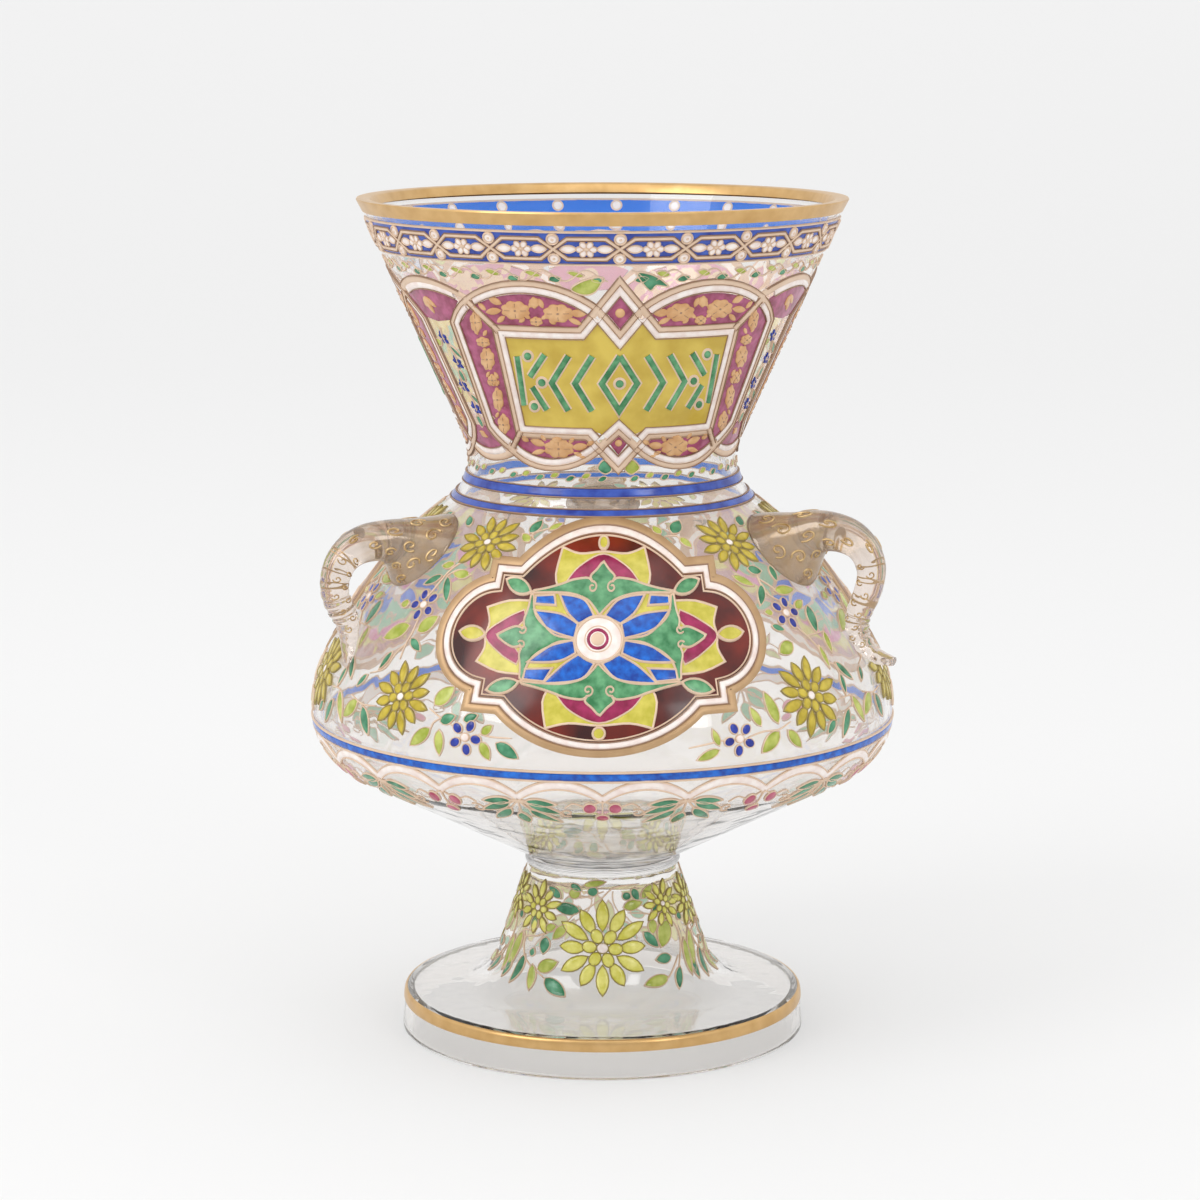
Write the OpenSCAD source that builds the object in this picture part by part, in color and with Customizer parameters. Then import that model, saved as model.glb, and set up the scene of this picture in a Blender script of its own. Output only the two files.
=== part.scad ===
// Enamelled glass mosque lamp, in millimetres.
// Z is up, the foot stands on z = 0, and the front, with one medallion, faces -Y.
// A blown vessel is joined by a glass wafer to a hollow blown foot and carries three
// applied trunk handles. Enamel and gilding are thin fired layers on the glass.

/* [Vessel] */
// Height of the neck, from the waist up to the lip
neck_h = 77.6; // [72:0.2:84]
// Outer diameter of the lip
rim_d = 137.4; // [128:0.2:146]
// Diameter at which the lines of neck and shoulder would meet
waist_d = 68.2; // [64:0.2:74]
// Radius of the curve between neck and shoulder
waist_round = 17.4; // [12:0.2:20]
// Height of the shoulder, from its corner up to the waist
shoulder_h = 21.4; // [20:0.2:23]
// Diameter of the corner in the sloping shoulder
shoulder_d = 125.2; // [118:0.2:132]
// Radius of the swelling of the shoulder
shoulder_round = 115; // [80:1:120]
// Height of the flank, from the corner above the belly up to the shoulder's corner
flank_h = 37.2; // [35:0.2:39.4]
// Largest diameter, at the belly
belly_d = 166.7; // [158:0.1:176]
// Height of the belly, between its upper and its lower corner
belly_h = 20; // [18.6:0.2:21.4]
// Radius of the curve above the belly
belly_top_round = 33.5; // [20:0.5:36]
// Radius of the curve under the belly
belly_low_round = 18.8; // [12:0.2:20]
// Height of the bowl, from its flat bottom up to the belly's lower corner
bowl_h = 32.4; // [30:0.2:35]
// Diameter of the bowl's flat bottom
base_d = 43; // [38:0.5:50]
// Thickness of the blown wall
wall_t = 2.4; // [1.8:0.1:3.2]
// Thickness of the glass in the bottom of the bowl
floor_t = 4; // [3:0.2:7]

/* [Wafer and foot] */
// Height of the hollow foot
foot_h = 48; // [45:0.5:51]
// Thickness of the glass wafer between foot and bowl
wafer_t = 3; // [2:0.2:4]
// How far the wafer stands out past the bowl's bottom
wafer_lip = 1; // [0.4:0.1:2]
// Diameter of the stem under the wafer
stem_d = 43; // [38:0.5:48]
// Diameter at which the lines of stem and flange would meet
flare_d = 66; // [60:0.5:74]
// Rise of the flange from its edge to where it would meet the stem
flange_rise = 1.6; // [1.1:0.1:3.2]
// Radius of the curve between stem and flange
flare_round = 14; // [6:0.5:18]
// Height of the skirt round the flange
skirt_h = 11.7; // [9:0.1:12.4]
// How far the skirt leans out from the flange down to the table
skirt_splay = 1; // [0.4:0.1:1.6]
// Radius of the rounded edge of the flange
flange_round = 2; // [1:0.1:3]
// Diameter of the foot on the table
foot_d = 116.8; // [110:0.2:124]
// Thickness of the foot's wall
foot_wall = 2.8; // [2:0.1:3.6]
// Thickness of the glass in the top of the foot
crown_t = 4; // [3:0.2:7]

/* [Handles] */
// Angle of each front handle from the front
handle_angle = 63; // [60:0.5:66]
// Height of the middle of a handle's root above the shoulder's corner
root_rise = 3.4; // [2:0.2:5]
// Diameter of the root, pressed on the shoulder
root_d = 27; // [24:0.5:29]
// Rise of the trunk from the middle of its root to the middle of its top
trunk_rise = 3.9; // [2.6:0.1:5]
// Distance of the trunk's outermost bend from the wall
bend_out = 19.7; // [17:0.1:22]
// Drop from the middle of the root to the trunk's outermost bend
bend_drop = 7.5; // [6:0.1:9]
// Drop from the middle of the root to where the trunk is pressed on the bowl
press_drop = 21; // [19:0.2:23]
// Thickness of the trunk at the top of its bend
trunk_d = 10.8; // [9:0.1:12]
// Thickness of the trunk where it is pressed on the bowl
trunk_end_d = 6.8; // [5.6:0.1:8]
// Distance of a curled tip from the wall
tip_out = 13.0; // [9:0.1:14]
// Drop from the middle of the root to the tips
tip_drop = 29.3; // [28:0.1:31]
// Thickness of a tip's end
tip_d = 2.6; // [2:0.1:4]

/* [Fired layers] */
// Thickness of the first layer of enamel or gilding
enamel_t = 0.5; // [0.3:0.05:0.8]
// Thickness of the raised layer on top of the first
raised_t = 0.5; // [0.3:0.05:0.8]
// Height of the gilt band round the lip
rim_gilt_h = 3.4; // [2:0.1:4]
// Height of the gilt lines beside the blue bands
gilt_line = 0.7; // [0.5:0.05:0.8]

/* [Neck border] */
// Distance from the lip down to the blue border
border_drop = 5.1; // [5:0.1:5.6]
// Height of the blue border band
border_h = 8.4; // [7.6:0.1:8.8]
// Cells in the border's gilt lattice
border_cells = 23; // [21:1:25]
// Width of the lattice's gilt lines
lattice_w = 0.9; // [0.6:0.05:1.2]
// Diameter of the pearls in the lattice
pearl_d = 2.2; // [1.6:0.1:2.6]
// Diameter of the rosette in each cell
rosette_d = 3.8; // [3:0.1:4.2]

/* [Neck cartouches] */
// Angle of the first cartouche from the front
cartouche_angle = 5; // [3:0.5:7]
// Half angle of the top of the yellow panel's strap
panel_top_a = 36; // [34:0.5:37]
// Half angle of the bottom of the yellow panel's strap
panel_low_a = 40.5; // [38:0.5:41]
// Height of the panel's strap, as a share of the neck between border and rings
panel_share = 0.452; // [0.42:0.002:0.48]
// Distance of the panel's middle below the middle of that part of the neck
panel_sink = 1.8; // [1:0.1:2.6]
// Half angle of the knots in the middle of the panel's strap
knot_a = 11; // [10:0.5:12]
// Distance from the border down to the top knot's tip
knot_top_gap = 6.1; // [5.6:0.1:7]
// Distance from the upper ring up to the bottom knot's tip
knot_low_gap = 6.4; // [6:0.1:7.4]
// Width of a strap with its gilt edges
strap_w = 3.2; // [2.6:0.1:3.4]
// Width of the white core of a strap
core_w = 1.4; // [1:0.1:1.6]

/* [Rings] */
// Distance from the waist's corner down to the bottom of the upper ring
ring_drop = 1.8; // [1.4:0.1:2.2]
// Distance between the bottoms of the two rings at the waist
ring_pitch = 4.7; // [4.4:0.1:5]
// Height of the bottom of the belly's ring above the belly's lower corner
ring_belly_rise = 6.9; // [6.4:0.1:7.4]
// Height of each blue ring
ring_h = 2.4; // [2:0.1:2.8]

/* [Medallions] */
// Gap between a medallion and the rings at the waist
medallion_top_gap = 0.3; // [0.2:0.1:1]
// Gap between a medallion and the ring round the belly
medallion_low_gap = 4.3; // [3.6:0.1:5]
// Half width of a medallion's white frame
medallion_a = 41.3; // [39:0.1:42]
// Half width of the stepped corners
step_a = 30.5; // [29:0.1:31.5]
// Half height of the stepped corners
step_b = 16; // [15.4:0.1:16.6]
// Width of the white frame
frame_w = 1.7; // [1.2:0.1:2]
// Width of the gilt frame round the white one
gilt_frame_w = 1.5; // [1:0.1:1.6]
// Narrowing of a medallion towards its top, for each millimetre of height
medallion_taper = 0.0058; // [0.004:0.0002:0.007]

/* [Flowers and scallops] */
// Length of a leaf in the rows on the neck
row_leaf = 5.6; // [4.6:0.1:6]
// Length of a leaf on shoulder and foot
leaf_len = 6; // [5:0.1:7]
// Diameter of the yellow blossoms on the shoulder
blossom_d = 15; // [12:0.5:16]
// Diameter of the blue blossoms on the shoulder
bluebell_d = 9; // [7:0.5:10]
// Diameter of the yellow blossoms on the foot
foot_blossom_d = 21; // [17:0.5:22]
// Scallops in the border under the belly
scallops = 22; // [20:2:24]
// Distance from the belly's ring down to the cusps between the scallops
cusp_drop = 5.2; // [5:0.1:5.8]
// Rise of each scallop
scallop_rise = 3.6; // [2.8:0.1:4]
// Width of the white scallop band
scallop_w = 1.5; // [1.1:0.1:1.8]
// Diameter of a berry
berry_d = 3; // [2.4:0.1:3.2]
// Length of a leaf in the fans
fan_leaf = 5; // [4:0.1:5.6]

/* [Hidden] */

// Degrees turned by each face of a rounded profile, and faces round a disc
arc_step = 6;
$fn = 128;
// Depth of the prisms that cut a motif out of a layer, each side of the wall
reach = 4;
// Angle left bare at each end of a motif that meets its neighbour
hairline = 0.1;
// Stations along a handle's loft and points round each of them
loft_steps = 3;
loft_sides = 14;

GLASS = [0.88, 0.86, 0.83, 0.45];
GILT = [0.80, 0.65, 0.38];
COBALT = [0.16, 0.26, 0.68];
WHITE = [0.95, 0.92, 0.88];
YELLOW = [0.80, 0.70, 0.16];
LIME = [0.80, 0.82, 0.30];
GREEN = [0.24, 0.58, 0.38];
PLUM = [0.60, 0.22, 0.42];
BROWN = [0.42, 0.11, 0.08];
TAN = [0.88, 0.70, 0.46];
CRIMSON = [0.66, 0.10, 0.22];

top_layer = enamel_t + raised_t;

// Heights above the table, from the foot up
flare_h = skirt_h + flange_rise;
flange_d = foot_d - 2 * skirt_splay;
base_h = foot_h + wafer_t;
belly_low_z = base_h + bowl_h;
belly_top_z = belly_low_z + belly_h;
shoulder_z = belly_top_z + flank_h;
waist_z = shoulder_z + shoulder_h;
lamp_h = waist_z + neck_h;
// Rings and the blue border
ring_belly_low = belly_low_z + ring_belly_rise;
ring_upper_low = waist_z - ring_drop;
ring_lower_low = ring_upper_low - ring_pitch;
border_low = lamp_h - border_drop - border_h;
// Cartouches, in the part of the neck between border and rings
neck_low = ring_upper_low + ring_h;
neck_free = border_low - neck_low;
panel_h = panel_share * neck_free;
panel_mid = neck_low + neck_free / 2 - panel_sink;
panel_top_h = panel_mid + panel_h / 2;
panel_low_h = panel_mid - panel_h / 2;
knot_top_h = border_low - knot_top_gap;
knot_low_h = neck_low + knot_low_gap;
high_rise = knot_top_h - panel_top_h;
low_rise = panel_low_h - knot_low_h;
// Medallions, between the rings of waist and belly
zone_low = ring_belly_low + ring_h;
zone_h = ring_lower_low - zone_low;
medallion_top = ring_lower_low - gilt_line - medallion_top_gap;
medallion_low = zone_low + gilt_line + medallion_low_gap;
medallion_h = (medallion_top + medallion_low) / 2;
medallion_b = (medallion_top - medallion_low) / 2 - frame_w / 2 - gilt_frame_w;
// Scallops and handles
cusp_h = ring_belly_low - gilt_line - cusp_drop;
root_h = shoulder_z + root_rise;
trunk_top_h = root_h + trunk_rise;
bend_h = root_h - bend_drop;
press_h = root_h - press_drop;
tip_h = root_h - tip_drop;

// Plane geometry

function unit(v) = v / norm(v);
function plane(p) = [p[0], p[1]];
function reversed(list) = [for (i = [len(list) - 1 : -1 : 0]) list[i]];
// Left-hand normal of the line from p to q
function side(p, q) = let (d = unit(q - p)) [-d[1], d[0]];
// Half of the angle between the two lines at corner i
function half_angle(c, i) =
    acos(unit(plane(c[i - 1]) - plane(c[i])) * unit(plane(c[i + 1]) - plane(c[i]))) / 2;
// Length that a corner's curve takes from the lines beside it
function curve_len(c, i) =
    i == 0 || i == len(c) - 1 ? 0 : c[i][2] / tan(half_angle(c, i));
// The same, limited where two curves would run into each other
function fitted_len(c, i) =
    let (t = curve_len(c, i))
    t == 0 ? 0 : 0.999 * t * min(1,
        norm(plane(c[i]) - plane(c[i - 1])) / (t + curve_len(c, i - 1)),
        norm(plane(c[i + 1]) - plane(c[i])) / (t + curve_len(c, i + 1)));
// Points of the curve that rounds corner i
function corner_points(c, i) =
    let (p = plane(c[i]), t = fitted_len(c, i))
    t == 0 ? [p] :
    let (u = unit(plane(c[i - 1]) - p),
         v = unit(plane(c[i + 1]) - p),
         h = half_angle(c, i),
         r = t * tan(h),
         m = p + unit(u + v) * r / sin(h),
         start = p + u * t - m,
         from = atan2(start[1], start[0]),
         sweep = -sign(cross(u, v)) * (180 - 2 * h),
         n = ceil(abs(sweep) / arc_step))
    [for (k = [0 : n]) m + r * [cos(from + sweep * k / n), sin(from + sweep * k / n)]];
// Line through corners [x, y, radius], with each corner rounded
function rounded(c) = [for (i = [0 : len(c) - 1]) each corner_points(c, i)];
// Open line moved to its left by d
function shifted(p, d) =
    let (last = len(p) - 1)
    [for (i = [0 : last])
        let (a = i == 0 ? side(p[0], p[1]) : side(p[i - 1], p[i]),
             b = i == last ? a : side(p[i], p[i + 1]),
             m = unit(a + b))
        p[i] + m * d / (m * a)];
// Closed clockwise outline made larger by d all round
function grown(p, d) =
    let (n = len(p))
    [for (i = [0 : n - 1])
        let (a = side(p[(i + n - 1) % n], p[i]),
             b = side(p[i], p[(i + 1) % n]),
             m = unit(a + b))
        p[i] + m * d / (m * a)];
// Arc from p to q that stands out to the left by rise
function bow(p, q, rise, n = 8) =
    let (d = unit(q - p),
         s = side(p, q),
         c = norm(q - p) / 2,
         a = 2 * atan(rise / c),
         r = c / sin(a),
         m = (p + q) / 2 - s * r * cos(a))
    [for (k = [0 : n])
        let (t = a * (2 * k / n - 1))
        m + r * (sin(t) * d + cos(t) * s)];
// Pointed leaf from p to q, w wide
function almond(p, q, w, n = 6) =
    concat(bow(p, q, w / 2, n), [for (k = [1 : n - 1]) bow(q, p, w / 2, n)[k]]);
// Right half of an outline, from top to bottom, with its mirror image
function both_sides(half) =
    concat(half, [for (p = reversed(half)) if (p[0] > 0.01) [-p[0], p[1]]]);
// Outline of a flower with rounded petals
function flower(petals, inner, outer, n = 8) =
    [for (k = [0 : petals * n - 1])
        let (t = 360 * k / (petals * n))
        (inner + (outer - inner) * abs(sin(petals * t / 2))) * [cos(t), sin(t)]];
// Line of width w through the points
function ribbon(p, w) = concat(shifted(p, w / 2), reversed(shifted(p, -w / 2)));

// Profiles, from the top down, as radius and height

rim = [rim_d / 2, lamp_h];
waist = [waist_d / 2, waist_z, waist_round];
over_rim = rim + (rim - plane(waist)) * 0.1;
outer = rounded([
    over_rim,
    waist,
    [shoulder_d / 2, shoulder_z, shoulder_round],
    [belly_d / 2, belly_top_z, belly_top_round],
    [belly_d / 2, belly_low_z, belly_low_round],
    [base_d / 2, base_h]
]);
foot_outer = rounded([
    [stem_d / 2, foot_h],
    [flare_d / 2, flare_h, flare_round],
    [flange_d / 2, skirt_h, flange_round],
    [foot_d / 2, 0]
]);
// Radius of a profile at a height, and the angle by which its face looks up there
function radius_at(profile, z) = lookup(z, [for (p = profile) [p[1], p[0]]]);
function lean_at(profile, z) = atan2(radius_at(profile, z - 1) - radius_at(profile, z + 1), 2);
// Point at an angle and height, on the neck's wall laid flat
function unrolled(angle, z) = [angle * PI / 180 * radius_at(outer, z), z];
// Points of the laid-flat wall, seen from the front
function rolled(points) =
    [for (p = points)
        let (r = radius_at(outer, p[1]))
        [r * sin(p[0] / r * 180 / PI), p[1]]];

// Solids and layers

module below(z) {
    translate([0, z - 2 * lamp_h]) square([belly_d, 2 * lamp_h]);
}

module between(bottom, top) {
    translate([0, bottom]) square([belly_d, top - bottom]);
}

// Layer on a profile, from low to high above its surface, between two heights,
// reaching by half an angle to each side of the front
module skin(profile, low, high, bottom, top, half = 180) {
    rotate([0, 0, -90 - half]) rotate_extrude(angle = 2 * half) intersection() {
        polygon(concat(shifted(profile, high), reversed(shifted(profile, low))));
        between(bottom, top);
    }
}

// Motif cut out of such a layer by a prism square to the wall at an angle and height;
// size is the distance that the motif reaches from its middle
module pad(profile, low, high, angle, z, size) {
    r = radius_at(profile, z);
    rotate([0, 0, angle]) intersection() {
        skin(profile, low, high, z - size, z + size, asin(min(1, size / r)) + 2);
        translate([0, -r, z])
            rotate([90 - lean_at(profile, z), 0, 0])
                translate([0, 0, -reach])
                    linear_extrude(2 * reach) children();
    }
}

// Motif cut out of such a layer by a prism from the lamp's axis out to the front
module facing(low, high, bottom, top, angle, half) {
    rotate([0, 0, angle]) intersection() {
        skin(outer, low, high, bottom, top, half);
        rotate([90, 0, 0]) linear_extrude(belly_d) children();
    }
}

module thirds() {
    for (k = [0 : 2]) rotate([0, 0, 120 * k]) children();
}

module whole_body() {
    rotate_extrude() polygon(concat(outer, [[0, base_h], [0, over_rim[1]]]));
}

// Glass

module wall_profile() {
    intersection() {
        difference() {
            polygon(concat(outer, [[0, base_h], [0, over_rim[1]]]));
            intersection() {
                polygon(concat(shifted(outer, -wall_t), [[0, base_h], [0, 2 * lamp_h]]));
                between(base_h + floor_t, 2 * lamp_h);
            }
        }
        below(lamp_h);
    }
}

module vessel() {
    color(GLASS) rotate_extrude() wall_profile();
}

module joining_wafer() {
    wafer_r = max(base_d, stem_d) / 2 + wafer_lip;
    edge = rounded([
        [0, base_h, 0],
        [wafer_r, base_h, wafer_t * 0.49],
        [wafer_r, foot_h, wafer_t * 0.49],
        [0, foot_h, 0]
    ]);
    color(GLASS) rotate_extrude() polygon(edge);
}

module foot() {
    color(GLASS) rotate_extrude() difference() {
        polygon(concat(foot_outer, [[0, 0], [0, foot_h]]));
        intersection() {
            polygon(concat(shifted(foot_outer, -foot_wall), [[0, -foot_h], [0, foot_h]]));
            between(-foot_h, foot_h - crown_t);
        }
    }
}

// Handles

// Point in a handle's upright plane, at a distance from the wall along its normal
function off_wall(z, d) =
    [radius_at(outer, z), z] + d * [cos(lean_at(outer, z)), sin(lean_at(outer, z))];
// Catmull-Rom spline through a list of numbers or vectors
function between_points(a, b, c, d, t) =
    0.5 * (2 * b + (c - a) * t + (2 * a - 5 * b + 4 * c - d) * t * t
        + (3 * b - a - 3 * c + d) * t * t * t);
function spline(p) =
    let (last = len(p) - 1)
    concat(
        [for (i = [0 : last - 1], k = [0 : loft_steps - 1])
            between_points(p[max(i - 1, 0)], p[i], p[i + 1], p[min(i + 2, last)], k / loft_steps)],
        [p[last]]);
// Root pressed on the shoulder, trunk bent over and pressed on the bowl: each
// station is [radius, height, half thickness, half breadth]
function trunk_stations(tip) =
    let (inner = off_wall(root_h, -wall_t / 2),
         root = off_wall(root_h, wall_t / 4),
         bell = off_wall(root_h, root_d * 0.16),
         top_r = root[0] + root_d * 0.45,
         press = off_wall(press_h, trunk_end_d * 0.42),
         bend_r = radius_at(outer, bend_h) + bend_out)
    concat([
        [inner[0], inner[1], root_d / 2, root_d * 0.43],
        [root[0], root[1], root_d / 2, root_d * 0.43],
        [bell[0] + root_d * 0.05, bell[1] - root_d * 0.05, root_d * 0.29, root_d * 0.3],
        [top_r, trunk_top_h, trunk_d * 0.58, trunk_d * 0.56],
        [(top_r + bend_r) / 2, trunk_top_h - trunk_d * 0.11, trunk_d * 0.48, trunk_d * 0.48],
        [bend_r - trunk_d * 0.06, bend_h, trunk_d * 0.37, trunk_d * 0.4],
        [bend_r - trunk_d * 0.28, (bend_h + press_h) / 2 - trunk_d * 0.06,
         trunk_d * 0.34, trunk_d * 0.38],
        [press[0], press[1], trunk_end_d / 2, trunk_end_d * 0.55]
    ], tip);
// Tip that is drawn out away from the bowl
curled_tip =
    let (start = off_wall(press_h - trunk_end_d * 0.68, trunk_end_d * 0.62),
         tip_reach = radius_at(outer, tip_h) + tip_out)
    [[start[0], start[1], trunk_end_d * 0.36, trunk_end_d * 0.56],
     [(start[0] + tip_reach) / 2, tip_h + tip_d * 0.3, tip_d * 0.75, trunk_end_d * 0.46],
     [tip_reach, tip_h, tip_d / 2, tip_d * 0.8]];
// Tip that is pinched flat down the bowl
pinched_tip =
    let (start = off_wall(press_h - trunk_end_d * 0.68, trunk_end_d * 0.42),
         end = off_wall(tip_h, tip_d * 0.4))
    [[start[0], start[1], trunk_end_d * 0.42, trunk_end_d * 0.5],
     [end[0], end[1], tip_d / 2, tip_d * 0.6]];
// Ring of points round station i, square to the loft's line there
function ring(s, i) =
    let (a = s[max(i - 1, 0)],
         b = s[min(i + 1, len(s) - 1)],
         n = side(plane(a), plane(b)))
    [for (k = [0 : loft_sides - 1])
        let (t = 360 * k / loft_sides, in_plane = plane(s[i]) + n * s[i][2] * cos(t))
        [s[i][3] * sin(t), -in_plane[0], in_plane[1]]];

module loft(stations) {
    s = spline(stations);
    n = loft_sides;
    rows = len(s);
    points = [for (i = [0 : rows - 1]) each ring(s, i)];
    walls = [for (i = [0 : rows - 2], k = [0 : n - 1])
        let (a = i * n + k, b = i * n + (k + 1) % n)
        each [[a, a + n, b + n], [a, b + n, b]]];
    ends = [
        [for (k = [0 : n - 1]) k],
        [for (k = [n - 1 : -1 : 0]) (rows - 1) * n + k]
    ];
    polyhedron(points, concat(walls, ends));
}

module handle(angle, tip) {
    color(GLASS) difference() {
        rotate([0, 0, angle]) loft(trunk_stations(tip));
        whole_body();
    }
}

module handle_left() {
    handle(-handle_angle, pinched_tip);
}

module handle_right() {
    handle(handle_angle, curled_tip);
}

module handle_back() {
    handle(180, curled_tip);
}

// Gilding

module rim_gilding() {
    color(GILT) rotate_extrude() difference() {
        intersection() {
            polygon(concat(shifted(outer, enamel_t), reversed(shifted(outer, -wall_t - enamel_t))));
            between(lamp_h - rim_gilt_h, lamp_h + enamel_t * 0.8);
        }
        wall_profile();
    }
}

// Two thin gilt lines, above and below a band
module gilt_pair(bottom, top) {
    color(GILT) {
        skin(outer, 0, enamel_t, top, top + gilt_line);
        skin(outer, 0, enamel_t, bottom - gilt_line, bottom);
    }
}

module border_gilt_lines() {
    gilt_pair(border_low, border_low + border_h);
}

module waist_gilt_lines() {
    gilt_pair(ring_upper_low, ring_upper_low + ring_h);
    gilt_pair(ring_lower_low, ring_lower_low + ring_h);
}

module belly_gilt_lines() {
    gilt_pair(ring_belly_low, ring_belly_low + ring_h);
}

border_mid = border_low + border_h / 2;
cell_angle = 360 / border_cells;
cell_w = cell_angle * PI / 180 * radius_at(outer, border_mid);
// The lattice's lines run level along the cell and cross between cells
cell_rise = border_h * 0.31;
cell_slope = cell_w * 0.13;

module border_gilt_lattice() {
    line = [[-cell_w / 2, 0], [cell_slope - cell_w / 2, cell_rise],
            [cell_w / 2 - cell_slope, cell_rise], [cell_w / 2, 0]];
    color(GILT)
    for (k = [0 : border_cells - 1])
        facing(enamel_t, top_layer, border_low, border_low + border_h,
               cartouche_angle + (k + 0.5) * cell_angle, cell_angle / 2 - hairline)
            for (m = [0, 1])
                translate([0, border_mid]) mirror([0, m]) polygon(ribbon(line, lattice_w));
}

module foot_gilding() {
    color(GILT) skin(foot_outer, 0, enamel_t, skirt_h * 0.66, skirt_h);
}

// Neck

module border_blue_band() {
    color(COBALT) skin(outer, 0, enamel_t, border_low, border_low + border_h);
}

module border_pearls() {
    color(WHITE)
    for (k = [0 : border_cells - 1], s = [-1, 1])
        pad(outer, enamel_t, top_layer, cartouche_angle + k * cell_angle,
            border_mid + s * border_h * 0.34, pearl_d)
            circle(d = pearl_d);
}

module border_rosettes() {
    color(WHITE)
    for (k = [0 : border_cells - 1])
        pad(outer, enamel_t, top_layer, cartouche_angle + (k + 0.5) * cell_angle, border_mid, rosette_d)
            circle(d = rosette_d, $fn = 8);
}

// Strap round the yellow panel, with a pointed knot above and below
panel_strap = both_sides([
    [0, knot_top_h],
    unrolled(knot_a, panel_top_h),
    unrolled(panel_top_a, panel_top_h),
    unrolled(panel_low_a, panel_low_h),
    unrolled(knot_a, panel_low_h),
    [0, knot_low_h]
]);
// Where the outer strap crosses the panel's knots, as a half angle
knot_cross_a = knot_a * 0.56;
// The outer strap's crossings with the corner bars, and its corners, set out from the
// panel's corners in degrees and in shares of the knots' heights
high_cross = [panel_top_a + 7.4, panel_top_h + 0.588 * high_rise];
high_corner = [panel_top_a + 15.7, panel_top_h + 0.107 * high_rise];
low_corner = [panel_low_a + 12.7, panel_low_h + 0.065 * low_rise];
low_cross = [panel_low_a + 4.5, panel_low_h - 0.543 * low_rise];
// How far the outer strap's notches reach past the panel's strap
notch = strap_w * 0.6;
// Angle and height on the neck, laid flat
function laid_flat(points) = [for (p = points) unrolled(p[0], p[1])];
// Outer strap: arches above and below, stepped sides, a notch into each knot
frame_strap = both_sides(concat(
    [[0, panel_top_h - notch]],
    bow(unrolled(knot_cross_a, panel_top_h + 0.443 * high_rise), laid_flat([high_cross])[0],
        0.45 * high_rise, 6),
    laid_flat([high_corner, low_corner]),
    bow(laid_flat([low_cross])[0], unrolled(knot_cross_a, panel_low_h - 0.283 * low_rise),
        0.609 * low_rise, 6),
    [[0, panel_low_h + notch]]
));
// Arcs that link one cartouche to the next, in degrees and millimetres
top_link = bow(high_cross, [120 - high_cross[0], high_cross[1]], 0.26 * high_rise, 6);
low_link = reversed(bow([120 - low_cross[0], low_cross[1]], low_cross, 0.326 * low_rise, 6));
// Half of the angle that each cartouche takes
third_half = 60 - hairline;

module panel_outline(d) {
    polygon(rolled(grown(panel_strap, d)));
}

module frame_outline(d) {
    polygon(rolled(grown(frame_strap, d)));
}

module on_both_sides() {
    for (m = [0, 1]) mirror([m, 0]) children();
}

// Short bars from the panel's corners to the crossings of the outer strap
module corner_bars(w) {
    high = laid_flat([[panel_top_a, panel_top_h], high_cross]);
    low = laid_flat([[panel_low_a, panel_low_h], low_cross]);
    on_both_sides() for (line = [high, low]) polygon(rolled(ribbon(line, w)));
}

module link_straps(w) {
    on_both_sides() for (line = [top_link, low_link])
        polygon(rolled(ribbon(laid_flat(line), w)));
}

// Fields inside the links, down to the outer strap's corners
module link_fields() {
    high = concat(top_link, [[120 - high_corner[0], high_corner[1]], high_corner]);
    low = concat(reversed(low_link), [low_corner, [120 - low_corner[0], low_corner[1]]]);
    difference() {
        on_both_sides() for (outline = [high, low])
            polygon(rolled(grown(laid_flat(outline), -strap_w / 2)));
        frame_outline(strap_w / 2);
    }
}

// Motifs of the three cartouches, on a layer between two depths
module in_cartouches(low, high) {
    for (k = [0 : 2])
        facing(low, high, neck_low, border_low, cartouche_angle + 120 * k, third_half)
            children();
}

// Straps of a given width: round the panel, round the frame and the links
module straps(w) {
    difference() {
        panel_outline(w / 2);
        panel_outline(-w / 2);
    }
    difference() {
        frame_outline(w / 2);
        frame_outline(-w / 2);
    }
    link_straps(w);
}

module cartouche_gilt_straps() {
    color(GILT) in_cartouches(0, enamel_t) {
        straps(strap_w);
        corner_bars(strap_w * 0.7);
    }
}

module cartouche_white_straps() {
    color(WHITE) in_cartouches(enamel_t, top_layer) straps(core_w);
}

module cartouche_yellow_panels() {
    color(YELLOW) in_cartouches(0, enamel_t) intersection() {
        panel_outline(-strap_w / 2);
        frame_outline(-strap_w / 2);
    }
}

module cartouche_plum_fields() {
    color(PLUM) in_cartouches(0, enamel_t) {
        difference() {
            frame_outline(-strap_w / 2);
            panel_outline(strap_w / 2);
            corner_bars(strap_w * 0.7);
        }
        difference() {
            panel_outline(-strap_w / 2);
            frame_outline(strap_w / 2);
        }
        link_fields();
    }
}

// Blossoms along the plum fields, as half angle, height and diameter
high_blossoms = [for (p = [[18, 0.41, 0.38], [30, 0.44, 0.41]])
    [p[0], panel_top_h + p[1] * high_rise, p[2] * high_rise]];
low_blossoms = [for (p = [[19, 0.48, 0.39], [32, 0.5, 0.41]])
    [p[0], panel_low_h - p[1] * low_rise, p[2] * low_rise]];
side_blossoms = [for (t = [0.14, 0.38, 0.62, 0.86])
    [(1 - t) * panel_top_a + t * panel_low_a + 7.4 + t, panel_top_h - t * panel_h, panel_h * 0.14]];

module cartouche_tan_blossoms() {
    color(TAN) thirds() for (p = concat(high_blossoms, low_blossoms, side_blossoms), s = [-1, 1])
        pad(outer, enamel_t, top_layer, cartouche_angle + s * p[0], p[1], p[2])
            circle(d = p[2], $fn = 7);
}

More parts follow.
